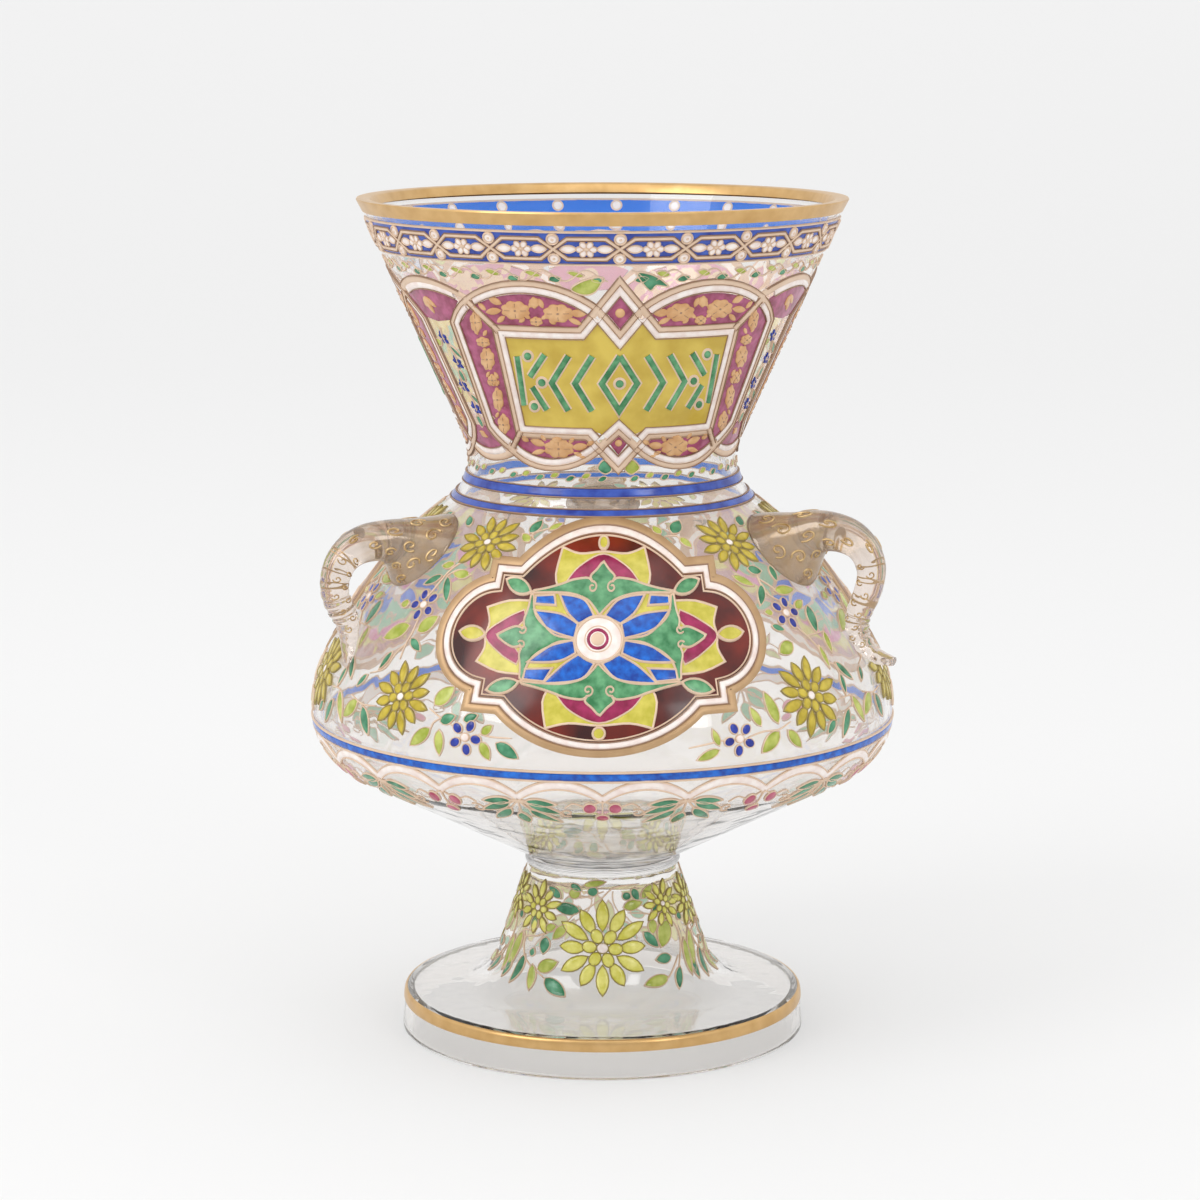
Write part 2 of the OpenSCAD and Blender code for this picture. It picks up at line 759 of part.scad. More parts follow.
// Plain ornament of bars and dots on the yellow panels, in shares of the panel's height
module cartouche_green_bars() {
    bar = panel_h * 0.045;
    lozenge = panel_h * [[0, 0.244], [0.16, 0], [0, -0.244], [-0.16, 0]];
    chevron = panel_h * [[0, 0.261], [0.139, 0], [0, -0.261]];
    color(GREEN) thirds() {
        pad(outer, enamel_t, top_layer, cartouche_angle, panel_mid, panel_h * 0.31) {
            difference() {
                polygon(grown(lozenge, bar / 2));
                polygon(grown(lozenge, -bar / 2));
            }
            circle(d = bar * 1.8, $fn = 8);
        }
        for (s = [-1, 1]) {
            for (a = [10, 17.5])
                pad(outer, enamel_t, top_layer, cartouche_angle + s * a, panel_mid, panel_h * 0.31)
                    mirror([s < 0 ? 1 : 0, 0]) polygon(ribbon(chevron, bar));
            pad(outer, enamel_t, top_layer, cartouche_angle + s * 28, panel_mid, panel_h * 0.31)
                polygon(almond([0, -panel_h * 0.244], [0, panel_h * 0.244], bar * 2.6, 4));
            for (k = [-1, 1])
                pad(outer, enamel_t, top_layer, cartouche_angle + s * 22.5, panel_mid + k * panel_h * 0.226,
                    bar * 2.3)
                    circle(d = bar * 1.55, $fn = 8);
        }
    }
}

// Rows of small leaves above and below the cartouches
module neck_leaf_rows() {
    high = border_low - gilt_line - row_leaf * 0.46;
    low = neck_low + gilt_line + row_leaf * 0.27;
    color(GREEN) thirds() {
        for (k = [1 : 10])
            pad(outer, 0, enamel_t, cartouche_angle + k * 120 / 11, high, row_leaf * 0.7)
                polygon(almond(row_leaf * [-0.5, -0.1], row_leaf * [0.5, 0.1], row_leaf * 0.36, 2));
        for (k = [0 : 5])
            pad(outer, 0, enamel_t, cartouche_angle + (k + 0.5) * 20, low, row_leaf * 0.54)
                polygon(almond(row_leaf * [-0.4, -0.05], row_leaf * [0.4, 0.05], row_leaf * 0.27, 2));
    }
}

// Upright sprays of small blue flowers between the cartouches
module neck_blue_sprays() {
    color(COBALT) thirds() for (t = [0.2, 0.5, 0.8])
        pad(outer, 0, enamel_t, cartouche_angle + 60, panel_low_h + t * panel_h, row_leaf * 0.54)
            polygon(flower(5, row_leaf * 0.14, row_leaf * 0.36, 2));
}

// Rings

module waist_ring_upper() {
    color(COBALT) skin(outer, 0, enamel_t, ring_upper_low, ring_upper_low + ring_h);
}

module waist_ring_lower() {
    color(COBALT) skin(outer, 0, enamel_t, ring_lower_low, ring_lower_low + ring_h);
}

module belly_blue_ring() {
    color(COBALT) skin(outer, 0, enamel_t, ring_belly_low, ring_belly_low + ring_h);
}

// Medallions

// Points of the medallion's design, narrowed upwards and set at its height
function on_medallion(points) =
    [for (p = points) [p[0] * (1 - medallion_taper * p[1]), p[1] + medallion_h]];
// White frame: a lobe on each side with square steps between the lobes
lobe_a = step_a * 0.787;
lobe_b = step_b * 0.75;
frame_line = both_sides(concat(
    [for (k = [4 : 8]) bow([-lobe_a, step_b], [lobe_a, step_b], medallion_b - step_b, 8)[k]],
    [[step_a, step_b]],
    bow([step_a, lobe_b], [step_a, -lobe_b], medallion_a - step_a, 8),
    [[step_a, -step_b]],
    [for (k = [0 : 4]) bow([lobe_a, -step_b], [-lobe_a, -step_b], medallion_b - step_b, 8)[k]]
));
// Shares of the frame's half width and half height, as a point of the design
function share(x, y) = [x * medallion_a, y * medallion_b];

module medallion_outline(d) {
    polygon(on_medallion(grown(frame_line, d)));
}

// A motif of the upper right quarter, in all four quarters
module quarters() {
    for (mx = [0, 1], my = [0, 1])
        translate([0, medallion_h]) mirror([mx, 0]) mirror([0, my])
            translate([0, -medallion_h]) children();
}

// Motifs of the three medallions, on a layer between two depths
module in_medallions(low, high) {
    for (k = [0 : 2])
        facing(low, high, medallion_low - frame_w, medallion_top + frame_w, 120 * k, 50)
            children();
}

module medallion_grounds() {
    color(BROWN) in_medallions(0, enamel_t) medallion_outline(-frame_w / 2);
}

module medallion_white_frames() {
    color(WHITE) in_medallions(0, enamel_t) difference() {
        medallion_outline(frame_w / 2);
        medallion_outline(-frame_w / 2);
    }
}

module medallion_gilt_frames() {
    color(GILT) in_medallions(0, enamel_t) difference() {
        medallion_outline(frame_w / 2 + gilt_frame_w);
        medallion_outline(frame_w / 2);
    }
}

// Steep and flat petals and the small corner piece of each quarter
steep_petal = almond(share(0.08, 0.24), share(0.25, 0.39), medallion_b * 0.13, 4);
flat_petal = almond(share(0.17, 0.09), share(0.43, 0.235), medallion_b * 0.122, 4);
corner_piece = [share(0.345, 0.31), share(0.395, 0.375), share(0.47, 0.375), share(0.455, 0.335)];
// Green fields: an ogee arch above and below, a narrower one at each side
function mirrored_y(points) = [for (p = points) [p[0], -p[1]]];
tall_field = both_sides(concat(
    [share(0, 0.7), share(0.085, 0.58), share(0.11, 0.505), share(0.18, 0.545)],
    bow(share(0.33, 0.49), share(0.49, 0.415), -medallion_b * 0.02, 3),
    bow(share(0.27, 0.41), share(0.02, 0.245), -medallion_b * 0.034, 4)
));
side_half = concat(
    [share(0.67, 0), share(0.575, 0.095), share(0.52, 0.07), share(0.53, 0.14)],
    bow(share(0.51, 0.23), share(0.495, 0.365), medallion_b * 0.015, 3),
    bow(share(0.45, 0.19), share(0.18, 0.012), medallion_b * 0.027, 4)
);
side_field = concat(mirrored_y(reversed(side_half)), side_half);
// Palmettes behind the green fields, and the crescents inside them
tall_palmette = both_sides([share(0, 0.765), share(0.305, 0.8), share(0.345, 0.49), share(0, 0.4)]);
side_palmette = [share(0.5, 0.31), share(0.775, 0.24), share(0.75, 0), share(0.775, -0.24),
                 share(0.5, -0.31), share(0.42, 0)];
tall_crescent = both_sides([share(0, 0.75), share(0.13, 0.66), share(0.245, 0.54), share(0, 0.48)]);
side_crescent = [share(0.55, 0.19), share(0.74, 0), share(0.55, -0.19), share(0.5, 0)];
corner_leaf = almond(share(0.505, 0.39), share(0.665, 0.5), medallion_b * 0.115, 3);

module green_shapes() {
    for (m = [0, 1]) translate([0, medallion_h]) {
        mirror([0, m]) translate([0, -medallion_h]) polygon(on_medallion(tall_field));
        mirror([m, 0]) translate([0, -medallion_h]) polygon(on_medallion(side_field));
    }
}

module crescent_shapes() {
    for (m = [0, 1]) translate([0, medallion_h]) {
        mirror([0, m]) translate([0, -medallion_h]) polygon(on_medallion(tall_crescent));
        mirror([m, 0]) translate([0, -medallion_h]) polygon(on_medallion(side_crescent));
    }
}

module medallion_blue_petals() {
    color(COBALT) in_medallions(enamel_t, top_layer) difference() {
        quarters() {
            polygon(on_medallion(steep_petal));
            polygon(on_medallion(flat_petal));
            polygon(on_medallion(corner_piece));
        }
        green_shapes();
    }
}

module medallion_green_fields() {
    color(GREEN) in_medallions(enamel_t, top_layer) {
        green_shapes();
        quarters() polygon(on_medallion(corner_leaf));
    }
}

module medallion_rose_crescents() {
    color(PLUM) in_medallions(enamel_t, top_layer) difference() {
        crescent_shapes();
        green_shapes();
    }
}

module medallion_yellow_palmettes() {
    finial = almond(share(0.79, 0), share(0.91, 0), medallion_b * 0.115, 3);
    drop = almond(share(0, 0.82), share(0, 0.93), medallion_b * 0.084, 3);
    color(LIME) in_medallions(enamel_t, top_layer) {
        difference() {
            for (m = [0, 1]) translate([0, medallion_h]) {
                mirror([0, m]) translate([0, -medallion_h]) polygon(on_medallion(tall_palmette));
                mirror([m, 0]) translate([0, -medallion_h]) polygon(on_medallion(side_palmette));
            }
            crescent_shapes();
            green_shapes();
            quarters() polygon(on_medallion(corner_piece));
        }
        for (m = [0, 1]) translate([0, medallion_h]) {
            mirror([m, 0]) translate([0, -medallion_h]) polygon(on_medallion(finial));
            mirror([0, m]) translate([0, -medallion_h]) polygon(on_medallion(drop));
        }
    }
}

module medallion_centres() {
    color(WHITE) thirds() pad(outer, enamel_t, top_layer, 0, medallion_h, medallion_a * 0.2)
        circle(d = medallion_a * 0.29);
}

// Flowers and leaves on shoulder and belly: angle from the medallion, share of the height
// between the rings, and the turn of each leaf
yellow_at = [[39, 0.869], [43.7, 0.263]];
blue_at = [[47.3, 0.594], [26, 0.126]];
leaf_at = [[32.5, 0.944, 60], [47.5, 0.745, -30], [43.5, 0.705, 70], [53, 0.467, -40],
           [49.5, 0.379, 40], [35.5, 0.172, 20], [17, 0.151, -15], [34, 0.088, -35]];

module shoulder_yellow_blossoms() {
    color(YELLOW) thirds() for (p = yellow_at, s = [-1, 1])
        pad(outer, 0, enamel_t, s * p[0], zone_low + p[1] * zone_h, blossom_d * 0.6)
            polygon(flower(12, blossom_d * 0.3, blossom_d / 2, 4));
}

module shoulder_blue_blossoms() {
    color(COBALT) thirds() for (p = blue_at, s = [-1, 1])
        pad(outer, 0, enamel_t, s * p[0], zone_low + p[1] * zone_h, bluebell_d * 0.6)
            polygon(flower(5, bluebell_d * 0.15, bluebell_d / 2, 4));
}

leaf_outline = almond([-leaf_len / 2, 0], [leaf_len / 2, 0], leaf_len * 0.43, 3);

module shoulder_leaves() {
    color(GREEN) thirds() for (p = leaf_at, s = [-1, 1])
        pad(outer, 0, enamel_t, s * p[0], zone_low + p[1] * zone_h, leaf_len * 0.67)
            mirror([s < 0 ? 1 : 0, 0]) rotate(p[2]) polygon(leaf_outline);
}

// Scallops under the belly

scallop_a = 360 / scallops;

module scallop_border() {
    half = radius_at(outer, cusp_h) * sin(scallop_a / 2);
    arc = bow([-half, cusp_h], [half, cusp_h], scallop_rise, 6);
    band = concat([for (p = arc) p + [0, scallop_w / 2]],
                  [for (p = reversed(arc)) p - [0, scallop_w / 2]]);
    color(WHITE) for (k = [0 : scallops - 1])
        facing(0, enamel_t, cusp_h - 2 * scallop_w, cusp_h + scallop_rise + 2 * scallop_w,
               (k + 0.5) * scallop_a, scallop_a / 2 - 2 * hairline)
            polygon(band);
}

module berry_clusters() {
    z = cusp_h - scallop_w / 2 - berry_d * 0.72;
    color(CRIMSON) for (k = [0 : 2 : scallops - 1])
        pad(outer, 0, enamel_t, k * scallop_a, z, berry_d * 2)
            for (p = [[-0.56, 0], [0.56, 0], [0, -1]])
                translate(p * berry_d) circle(d = berry_d);
}

module leaf_fans() {
    z = cusp_h - scallop_w / 2 - fan_leaf * 0.2;
    color(GREEN) for (k = [1 : 2 : scallops - 1])
        pad(outer, 0, enamel_t, k * scallop_a, z, fan_leaf * 1.6)
            for (t = [-64, -32, 0, 32, 64])
                rotate(t) polygon(almond([0, -fan_leaf * 0.36], [0, -fan_leaf * 1.36], fan_leaf * 0.36, 2));
}

// Foot

foot_flower_h = (foot_h + skirt_h) / 2;

module foot_blossoms() {
    color(YELLOW) thirds() pad(foot_outer, 0, enamel_t, 0, foot_flower_h, foot_blossom_d * 0.6)
        polygon(flower(12, foot_blossom_d * 0.32, foot_blossom_d / 2, 4));
}

module foot_leaves() {
    color(GREEN) thirds() for (s = [-1, 1], p = [[34, 0.29, 40], [41, -0.24, -30], [52, 0.14, 65]])
        pad(foot_outer, 0, enamel_t, s * p[0], foot_flower_h + p[1] * foot_blossom_d, leaf_len * 0.8)
            mirror([s < 0 ? 1 : 0, 0]) rotate(p[2]) polygon(leaf_outline);
}

vessel();
joining_wafer();
foot();
handle_left();
handle_right();
handle_back();
rim_gilding();
border_gilt_lines();
border_gilt_lattice();
cartouche_gilt_straps();
waist_gilt_lines();
medallion_gilt_frames();
belly_gilt_lines();
foot_gilding();
border_blue_band();
border_pearls();
border_rosettes();
cartouche_yellow_panels();
cartouche_green_bars();
cartouche_white_straps();
cartouche_plum_fields();
cartouche_tan_blossoms();
neck_leaf_rows();
neck_blue_sprays();
waist_ring_upper();
waist_ring_lower();
medallion_grounds();
medallion_white_frames();
medallion_blue_petals();
medallion_green_fields();
medallion_yellow_palmettes();
medallion_rose_crescents();
medallion_centres();
shoulder_yellow_blossoms();
shoulder_blue_blossoms();
shoulder_leaves();
belly_blue_ring();
scallop_border();
berry_clusters();
leaf_fans();
foot_blossoms();
foot_leaves();
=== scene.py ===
# %% [markdown]
# # An enamelled glass mosque lamp
# The lamp is blown glass: a flared neck on a wide bowl, a wafer, a hollow foot and three
# applied handles. Everything coloured is painted on that glass and fired: flat colours
# inside raised gilt lines. So this lesson first makes the wall as a curve in the plane of
# radius and height, and then lays every motif on that wall from a flat drawing.

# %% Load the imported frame
import math

import bmesh
import bpy
import mathutils
import numpy as np
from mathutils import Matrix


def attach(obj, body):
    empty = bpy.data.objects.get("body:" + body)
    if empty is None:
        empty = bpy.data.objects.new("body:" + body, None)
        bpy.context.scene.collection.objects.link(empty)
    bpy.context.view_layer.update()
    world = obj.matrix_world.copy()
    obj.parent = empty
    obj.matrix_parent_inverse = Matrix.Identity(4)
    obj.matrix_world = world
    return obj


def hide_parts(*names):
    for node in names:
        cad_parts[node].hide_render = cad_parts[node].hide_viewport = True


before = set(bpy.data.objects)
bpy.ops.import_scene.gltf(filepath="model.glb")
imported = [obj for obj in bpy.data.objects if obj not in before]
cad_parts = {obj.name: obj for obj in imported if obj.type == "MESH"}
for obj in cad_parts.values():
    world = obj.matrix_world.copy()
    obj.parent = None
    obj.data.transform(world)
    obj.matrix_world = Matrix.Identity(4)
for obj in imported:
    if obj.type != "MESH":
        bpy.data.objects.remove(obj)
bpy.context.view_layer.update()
scene = bpy.context.scene
MM = 0.001
THIRDS = np.radians([0, 120, 240])
print("frame holds", len(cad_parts), "nodes")

# %% [markdown]
# ## Camera
# The photograph was fitted as a pinhole picture: a long lens almost a metre away, looking
# down by ten degrees. Focal length and shift come from pixels of the 1200 pixel frame.

# %% Camera
PHOTO_PX, FOCAL_PX, ASIDE_PX = 1200, 3485, -2.5
CAMERA_AT, LOOKS_DOWN = (0, -0.984, 0.30115), 10.165
camera_data = bpy.data.cameras.new("camera")
camera_data.sensor_width = 36
camera_data.lens = FOCAL_PX / PHOTO_PX * camera_data.sensor_width
camera_data.shift_x = ASIDE_PX / PHOTO_PX
camera_data.clip_end = 50
camera = bpy.data.objects.new("camera", camera_data)
camera.location = CAMERA_AT
camera.rotation_euler = (math.radians(90 - LOOKS_DOWN), 0, 0)
scene.collection.objects.link(camera)
scene.camera = camera
print("lens", round(camera_data.lens, 1), "mm")

# %% [markdown]
# ## Colours and nodes
# Every colour below is an sRGB hex value, as a painter's sample card would give it. Shaders
# work in linear light, so one function converts them. A second fills a node's sockets with
# values or links, a third adds a node, and a fourth starts a material.

# %% Helpers for materials
def linear(code):
    """sRGB hex to linear RGBA: the sRGB curve undone on each channel."""
    srgb = np.array([int(code[i:i + 2], 16) for i in (1, 3, 5)]) / 255
    rgb = np.where(srgb <= 0.04045, srgb / 12.92, ((srgb + 0.055) / 1.055) ** 2.4)
    return (*rgb.tolist(), 1.0)


def fill(target, inputs):
    """Gives each named socket of a node a value or a link."""
    for key, value in inputs.items():
        if isinstance(value, bpy.types.NodeSocket):
            target.id_data.links.new(value, target.inputs[key])
        else:
            target.inputs[key].default_value = value
    return target


def node(tree, kind, inputs, **settings):
    """Adds a node, sets its properties and fills its sockets."""
    made = tree.nodes.new(kind)
    for key, value in settings.items():
        setattr(made, key, value)
    return fill(made, inputs)


def principled(name, inputs):
    """New material with values on its shader: material, tree, shader, Object coordinates."""
    material = bpy.data.materials.new(name)
    material.use_nodes = True
    tree = material.node_tree
    shader = fill(tree.nodes["Principled BSDF"], inputs)
    return material, tree, shader, node(tree, "ShaderNodeTexCoord", {}).outputs["Object"]


print("one hex value in linear light", linear("#808080"))

# %% [markdown]
# ## Clear glass
# Soda glass refracts with an index near 1.5. Blown and hand-finished, it is faintly warm and
# grey and not quite even, which a very slow bump shows in the reflections. The handles wear
# a thin bronze lustre, a film of metal that is thick on the root and fades along the trunk. So
# an attribute called lustre takes their surface from satin bronze to clear glass.

# %% Glass materials
WAVE, DENT, PATCH = 9 * MM, 0.4 * MM, 4 * MM


def glass(name, tint):
    """Soda glass: full transmission, index 1.5 and a slow waviness."""
    material, tree, shader, place = principled(name, {
        "Base Color": linear(tint), "Transmission Weight": 1.0, "Roughness": 0.02, "IOR": 1.5})
    wave = node(tree, "ShaderNodeTexNoise", {"Vector": place, "Scale": 1 / WAVE, "Detail": 1.0})
    bump = node(tree, "ShaderNodeBump",
                {"Height": wave.outputs["Fac"], "Strength": 0.25, "Distance": DENT})
    fill(shader, {"Normal": bump.outputs["Normal"]})
    return material, tree, shader, place


def lustred(name, clear, bronze):
    """Glass under a film of lustre, as thick as the attribute times patchy noise: bronze and
    satin where it is thick."""
    material, tree, shader, place = glass(name, clear)
    film = node(tree, "ShaderNodeAttribute", {}, attribute_name="lustre")
    patchy = node(tree, "ShaderNodeTexNoise", {"Vector": place, "Scale": 1 / PATCH, "Detail": 3.0})
    worn = node(tree, "ShaderNodeMapRange", {"Value": patchy.outputs["Fac"], "From Min": 0.36,
                                             "From Max": 0.64, "To Min": 0.6, "To Max": 1.05})
    thick = node(tree, "ShaderNodeMath", {0: film.outputs["Fac"], 1: worn.outputs["Result"]},
                 operation="MULTIPLY", use_clamp=True).outputs[0]
    mix = node(tree, "ShaderNodeMix", {"Factor": thick, "A": linear(clear), "B": linear(bronze)},
               data_type="RGBA")
    fill(shader, {"Base Color": mix.outputs["Result"]})
    for socket, bare, full in (("Transmission Weight", 1.0, 0.6), ("Metallic", 0.0, 0.2),
                               ("Roughness", 0.03, 0.16)):
        level = node(tree, "ShaderNodeMapRange", {"Value": thick, "To Min": bare, "To Max": full})
        fill(shader, {socket: level.outputs["Result"]})
    return material


clear_glass = glass("blown_soda_glass", "#FAF8F6")[0]
lustred_glass = lustred("lustred_soda_glass", "#F8EDE6", "#CEB28E")
print("glass materials", clear_glass.name, lustred_glass.name)

# %% [markdown]
# ## Enamel
# Lamp enamel is ground coloured glass painted on with oil and fired. It stays glossy, pools at
# the rim of each cell and is thinner in the middle. So each enamel runs between a deep and a
# thin colour, by brush-sized noise and by the nearness of the rim, which each piece carries in
# an attribute called rim. Seen from behind, through the glass it was fired on, enamel looks
# much paler, because the bright room shines through the thin layer. That light is painted in:
# the attribute is 2 on the underside, which takes a third, pale colour and an emitted glow
# that gives back a part of that light.

# %% Enamel materials
# THROUGH is the share of light through a layer that an underside gives back as a painted glow.
THROUGH, GRAIN = 0.36, 0.1 * MM
UNDERSIDE = {"From Min": 1.3, "From Max": 1.9}


def fire(tree, shader, face, under, glow, noise, strength):
    """Ends a fired layer: face outside, another colour and a glow from behind, fine grain. The glow,
    and the paler colour behind enamel, are painted light for light that comes through the layer.
    Gives back how far a point belongs to the underside."""
    rim = node(tree, "ShaderNodeAttribute", {}, attribute_name="rim").outputs["Fac"]
    back = node(tree, "ShaderNodeMapRange", {"Value": rim, **UNDERSIDE}).outputs["Result"]
    mix = node(tree, "ShaderNodeMix", {"Factor": back, "A": face, "B": linear(under)},
               data_type="RGBA")
    through = node(tree, "ShaderNodeMath", {0: back, 1: glow}, operation="MULTIPLY")
    bump = node(tree, "ShaderNodeBump", {"Height": noise, "Strength": strength, "Distance": GRAIN})
    # Painted light: on the underside, an emitted glow in the colour behind, for light through the layer.
    fill(shader, {"Base Color": mix.outputs["Result"], "Emission Color": linear(under),
                  "Emission Strength": through.outputs[0], "Normal": bump.outputs["Normal"]})
    return back


def enamel(name, deep, thin, under, pool=0.35, streak=3.0):
    """Fired enamel from a thin to a deep colour: depth is pool times the nearness of the rim,
    plus noise as long as a streak in mm."""
    material, tree, shader, place = principled(name, {"Roughness": 0.16, "IOR": 1.52})
    brush = node(tree, "ShaderNodeTexNoise",
                 {"Vector": place, "Scale": 1 / (streak * MM), "Detail": 3.0}).outputs["Fac"]
    mottle = node(tree, "ShaderNodeMapRange", {"Value": brush, "From Min": 0.32, "From Max": 0.68})
    rim = node(tree, "ShaderNodeAttribute", {}, attribute_name="rim")
    near = node(tree, "ShaderNodeMath", {0: rim.outputs["Fac"], 1: 1.0}, operation="MINIMUM")
    depth = node(tree, "ShaderNodeMath", {0: near.outputs[0], 1: pool, 2: mottle.outputs["Result"]},
                 operation="MULTIPLY_ADD", use_clamp=True)
    face = node(tree, "ShaderNodeMix",
                {"Factor": depth.outputs[0], "A": linear(thin), "B": linear(deep)}, data_type="RGBA")
    fire(tree, shader, face.outputs["Result"], under, THROUGH, brush, 0.3)
    return material


print("light that comes through a layer", THROUGH)

# %% [markdown]
# The painter's box of enamels follows. Each paint gives its slot in the record and its
# material: the deep colour, the thin one and the one seen from behind. Large flat fields were
# laid with a broad brush, so their streaks are longer.

# %% Enamel paints
PAINT = {
    "blue": ("enamel_blue", enamel("cobalt_enamel", "#1C3494", "#3F62C4", "#0C78E8", streak=5.0)),
    "vivid_blue": ("enamel_blue", enamel("azure_enamel", "#003C9C", "#1070D8", "#6E96F4", streak=2.2)),
    "flower_blue": ("enamel_blue", enamel("flower_blue_enamel", "#1A2480", "#3048B4", "#A8B4F4")),
    "white": ("enamel_white", enamel("tin_white_enamel", "#EEDCD4", "#FCF4EE", "#FFFAF6", pool=0.2)),
    "yellow": ("enamel_yellow", enamel("ochre_yellow_enamel", "#C4A63A", "#DCC254", "#EDE0A0",
                                       pool=0.2, streak=8.0)),
    "olive": ("enamel_yellow", enamel("olive_yellow_enamel", "#B09A20", "#D2BC40", "#E8DFA0")),
    "lime": ("enamel_yellow", enamel("lime_yellow_enamel", "#BEB43A", "#DACE5C", "#F0ECB0")),
    # Painted light: the foot's flowers face down and get less light, so they take a lighter copy of the lime.
    "pale_lime": ("enamel_yellow", enamel("lime_enamel_painted_lighter", "#D0CA48", "#EEE884", "#F4F0C0")),
    "leaf_lime": ("enamel_green", enamel("yellow_green_enamel", "#98A636", "#C6CC6C", "#E4E8B8")),
    "green": ("enamel_green", enamel("copper_green_enamel", "#2A7444", "#6CAE7C", "#B0DCC2")),
    "leaf_green": ("enamel_green", enamel("leaf_green_enamel", "#206C46", "#5CA27C", "#B8DCC6")),
    "plum": ("enamel_plum", enamel("manganese_plum_enamel", "#8A3852", "#B85C84", "#E0B4C4")),
    "rose": ("enamel_crimson", enamel("rose_enamel", "#800C3C", "#AC2A60", "#F0B4D8")),
    "crimson": ("enamel_crimson", enamel("ruby_enamel", "#A83A58", "#CC7088", "#F0BCCB")),
    "brown": ("enamel_red_brown", enamel("iron_red_enamel", "#360A08", "#84220E", "#DCC0C4",
                                         pool=0.2, streak=14.0)),
    "tan": ("enamel_tan", enamel("tan_enamel", "#CE9A66", "#E4B886", "#EFDCC6", pool=0.5)),
}
print("enamels", len(PAINT))

# %% [markdown]
# ## Gilding
# The gold is painted as powder in oil, fired and lightly burnished: a warm metal with a soft
# sheen. Drawn lines are finer and darker, because the red-brown drawing under them shows.

# %% Gilding materials
WEAR = 5 * MM


def gilding(name, worn, bright, rough, metal, under="#E6CFBC", glow=THROUGH):
    """Fired powder gold: metal with a soft sheen, worn in places; from behind matt, in another
    colour, with a painted glow for light that comes through the layer.
    """
    material, tree, shader, place = principled(name, {"Roughness": rough})
    wear = node(tree, "ShaderNodeTexNoise",
                {"Vector": place, "Scale": 1 / WEAR, "Detail": 4.0}).outputs["Fac"]
    face = node(tree, "ShaderNodeMix", {"Factor": wear, "A": linear(worn), "B": linear(bright)},
                data_type="RGBA")
    back = fire(tree, shader, face.outputs["Result"], under, glow, wear, 0.2)
    shine = node(tree, "ShaderNodeMapRange", {"Value": back, "To Min": metal, "To Max": 0.0})
    fill(shader, {"Metallic": shine.outputs["Result"]})
    return "gilding", material


PAINT["gold_band"] = gilding("burnished_gold_band", "#BC9256", "#E6C088", 0.3, 0.9, "#7E6A3C", 0.05)
PAINT["gold_line"] = gilding("fired_gold_line", "#D4B498", "#EED6BE", 0.45, 0.2)
PAINT["gold_frame"] = gilding("fired_gold_frame", "#AE8A62", "#CFAE86", 0.42, 0.5)
PAINT["gold_scroll"] = gilding("raised_gold_scroll", "#A07C4A", "#EED2A0", 0.3, 0.7)
PAINT["brown_line"] = gilding("brown_drawn_line", "#8E6C54", "#B29278", 0.5, 0.1)
PAINT["olive_line"] = gilding("olive_drawn_line", "#94844A", "#B8A664", 0.5, 0.05)
print("paints", len(PAINT))

# %% [markdown]
# ## The wall as a curve
# A glassblower turns the lamp on its axis, so radius against height says it all. The curve is
# straight lines with rounded corners. It is kept as arrays along its length: radius, height
# and the outward normal. Any point of the wall is then an angle and a length.

# %% Profiles
ARC_POINTS, SHORT_OF_MEETING = 24, 0.999


def rounded(corners):
    """Line through corners (r, z, radius): each corner becomes an arc that touches both of
    its lines; where two arcs would meet, both are shortened in proportion."""
    points = np.array([c[:2] for c in corners], float)
    radius = np.array([c[2] if len(c) > 2 else 0 for c in corners], float)
    ways = np.diff(points, axis=0)
    length = np.hypot(*ways.T)
    ways /= length[:, None]
    half = np.zeros(len(points))
    half[1:-1] = np.arccos(np.clip(-(ways[:-1] * ways[1:]).sum(1), -1, 1)) / 2
    take = np.zeros(len(points))
    take[1:-1] = radius[1:-1] / np.tan(half[1:-1])
    fit = np.ones(len(points))
    before = length[:-1] / np.maximum(take[1:-1] + take[:-2], 1e-9)
    after = length[1:] / np.maximum(take[1:-1] + take[2:], 1e-9)
    fit[1:-1] = np.minimum(1, np.minimum(before, after))
    line = [points[:1]]
    for i in range(1, len(points) - 1):
        t = SHORT_OF_MEETING * take[i] * fit[i]
        u, v = -ways[i - 1], ways[i]
        r = t * np.tan(half[i])
        middle = points[i] + (u + v) / np.linalg.norm(u + v) * r / np.sin(half[i])
        start = points[i] + u * t - middle
        turn = np.sign(u[1] * v[0] - u[0] * v[1]) * (np.pi - 2 * half[i])
        a = np.arctan2(start[1], start[0]) + np.linspace(0, turn, ARC_POINTS)
        line.append(middle + r * np.stack([np.cos(a), np.sin(a)], 1))
    return np.concatenate(line + [points[-1:]])


def wall_curve(corners, step=0.5):
    """Profile as arrays along its length s: radius, height and outward normal, in mm."""
    line = rounded(corners)
    along = np.concatenate([[0], np.cumsum(np.hypot(*np.diff(line, axis=0).T))])
    s = np.linspace(0, along[-1], int(along[-1] / step))
    r, z = np.interp(s, along, line[:, 0]), np.interp(s, along, line[:, 1])
    dr, dz = np.gradient(r, s), np.gradient(z, s)
    size = np.hypot(dr, dz)
    return {"s": s, "r": r, "z": z, "nr": -dz / size, "nz": dr / size}


LIP, BASE, FOOT_TOP, STEM = 239.6, 51.0, 48.0, 21.5
BODY = wall_curve([(68.7, LIP), (34.1, 162, 17.4), (62.6, 140.6, 115), (83.35, 103.4, 33.5),
                   (83.35, 83.4, 18.8), (STEM, BASE)])
FOOT = wall_curve([(STEM, FOOT_TOP), (33, 13.3, 14), (57.4, 11.7, 2), (58.4, 0)])
print("body curve", len(BODY["s"]), "points, widest radius", round(BODY["r"].max(), 1), "mm")

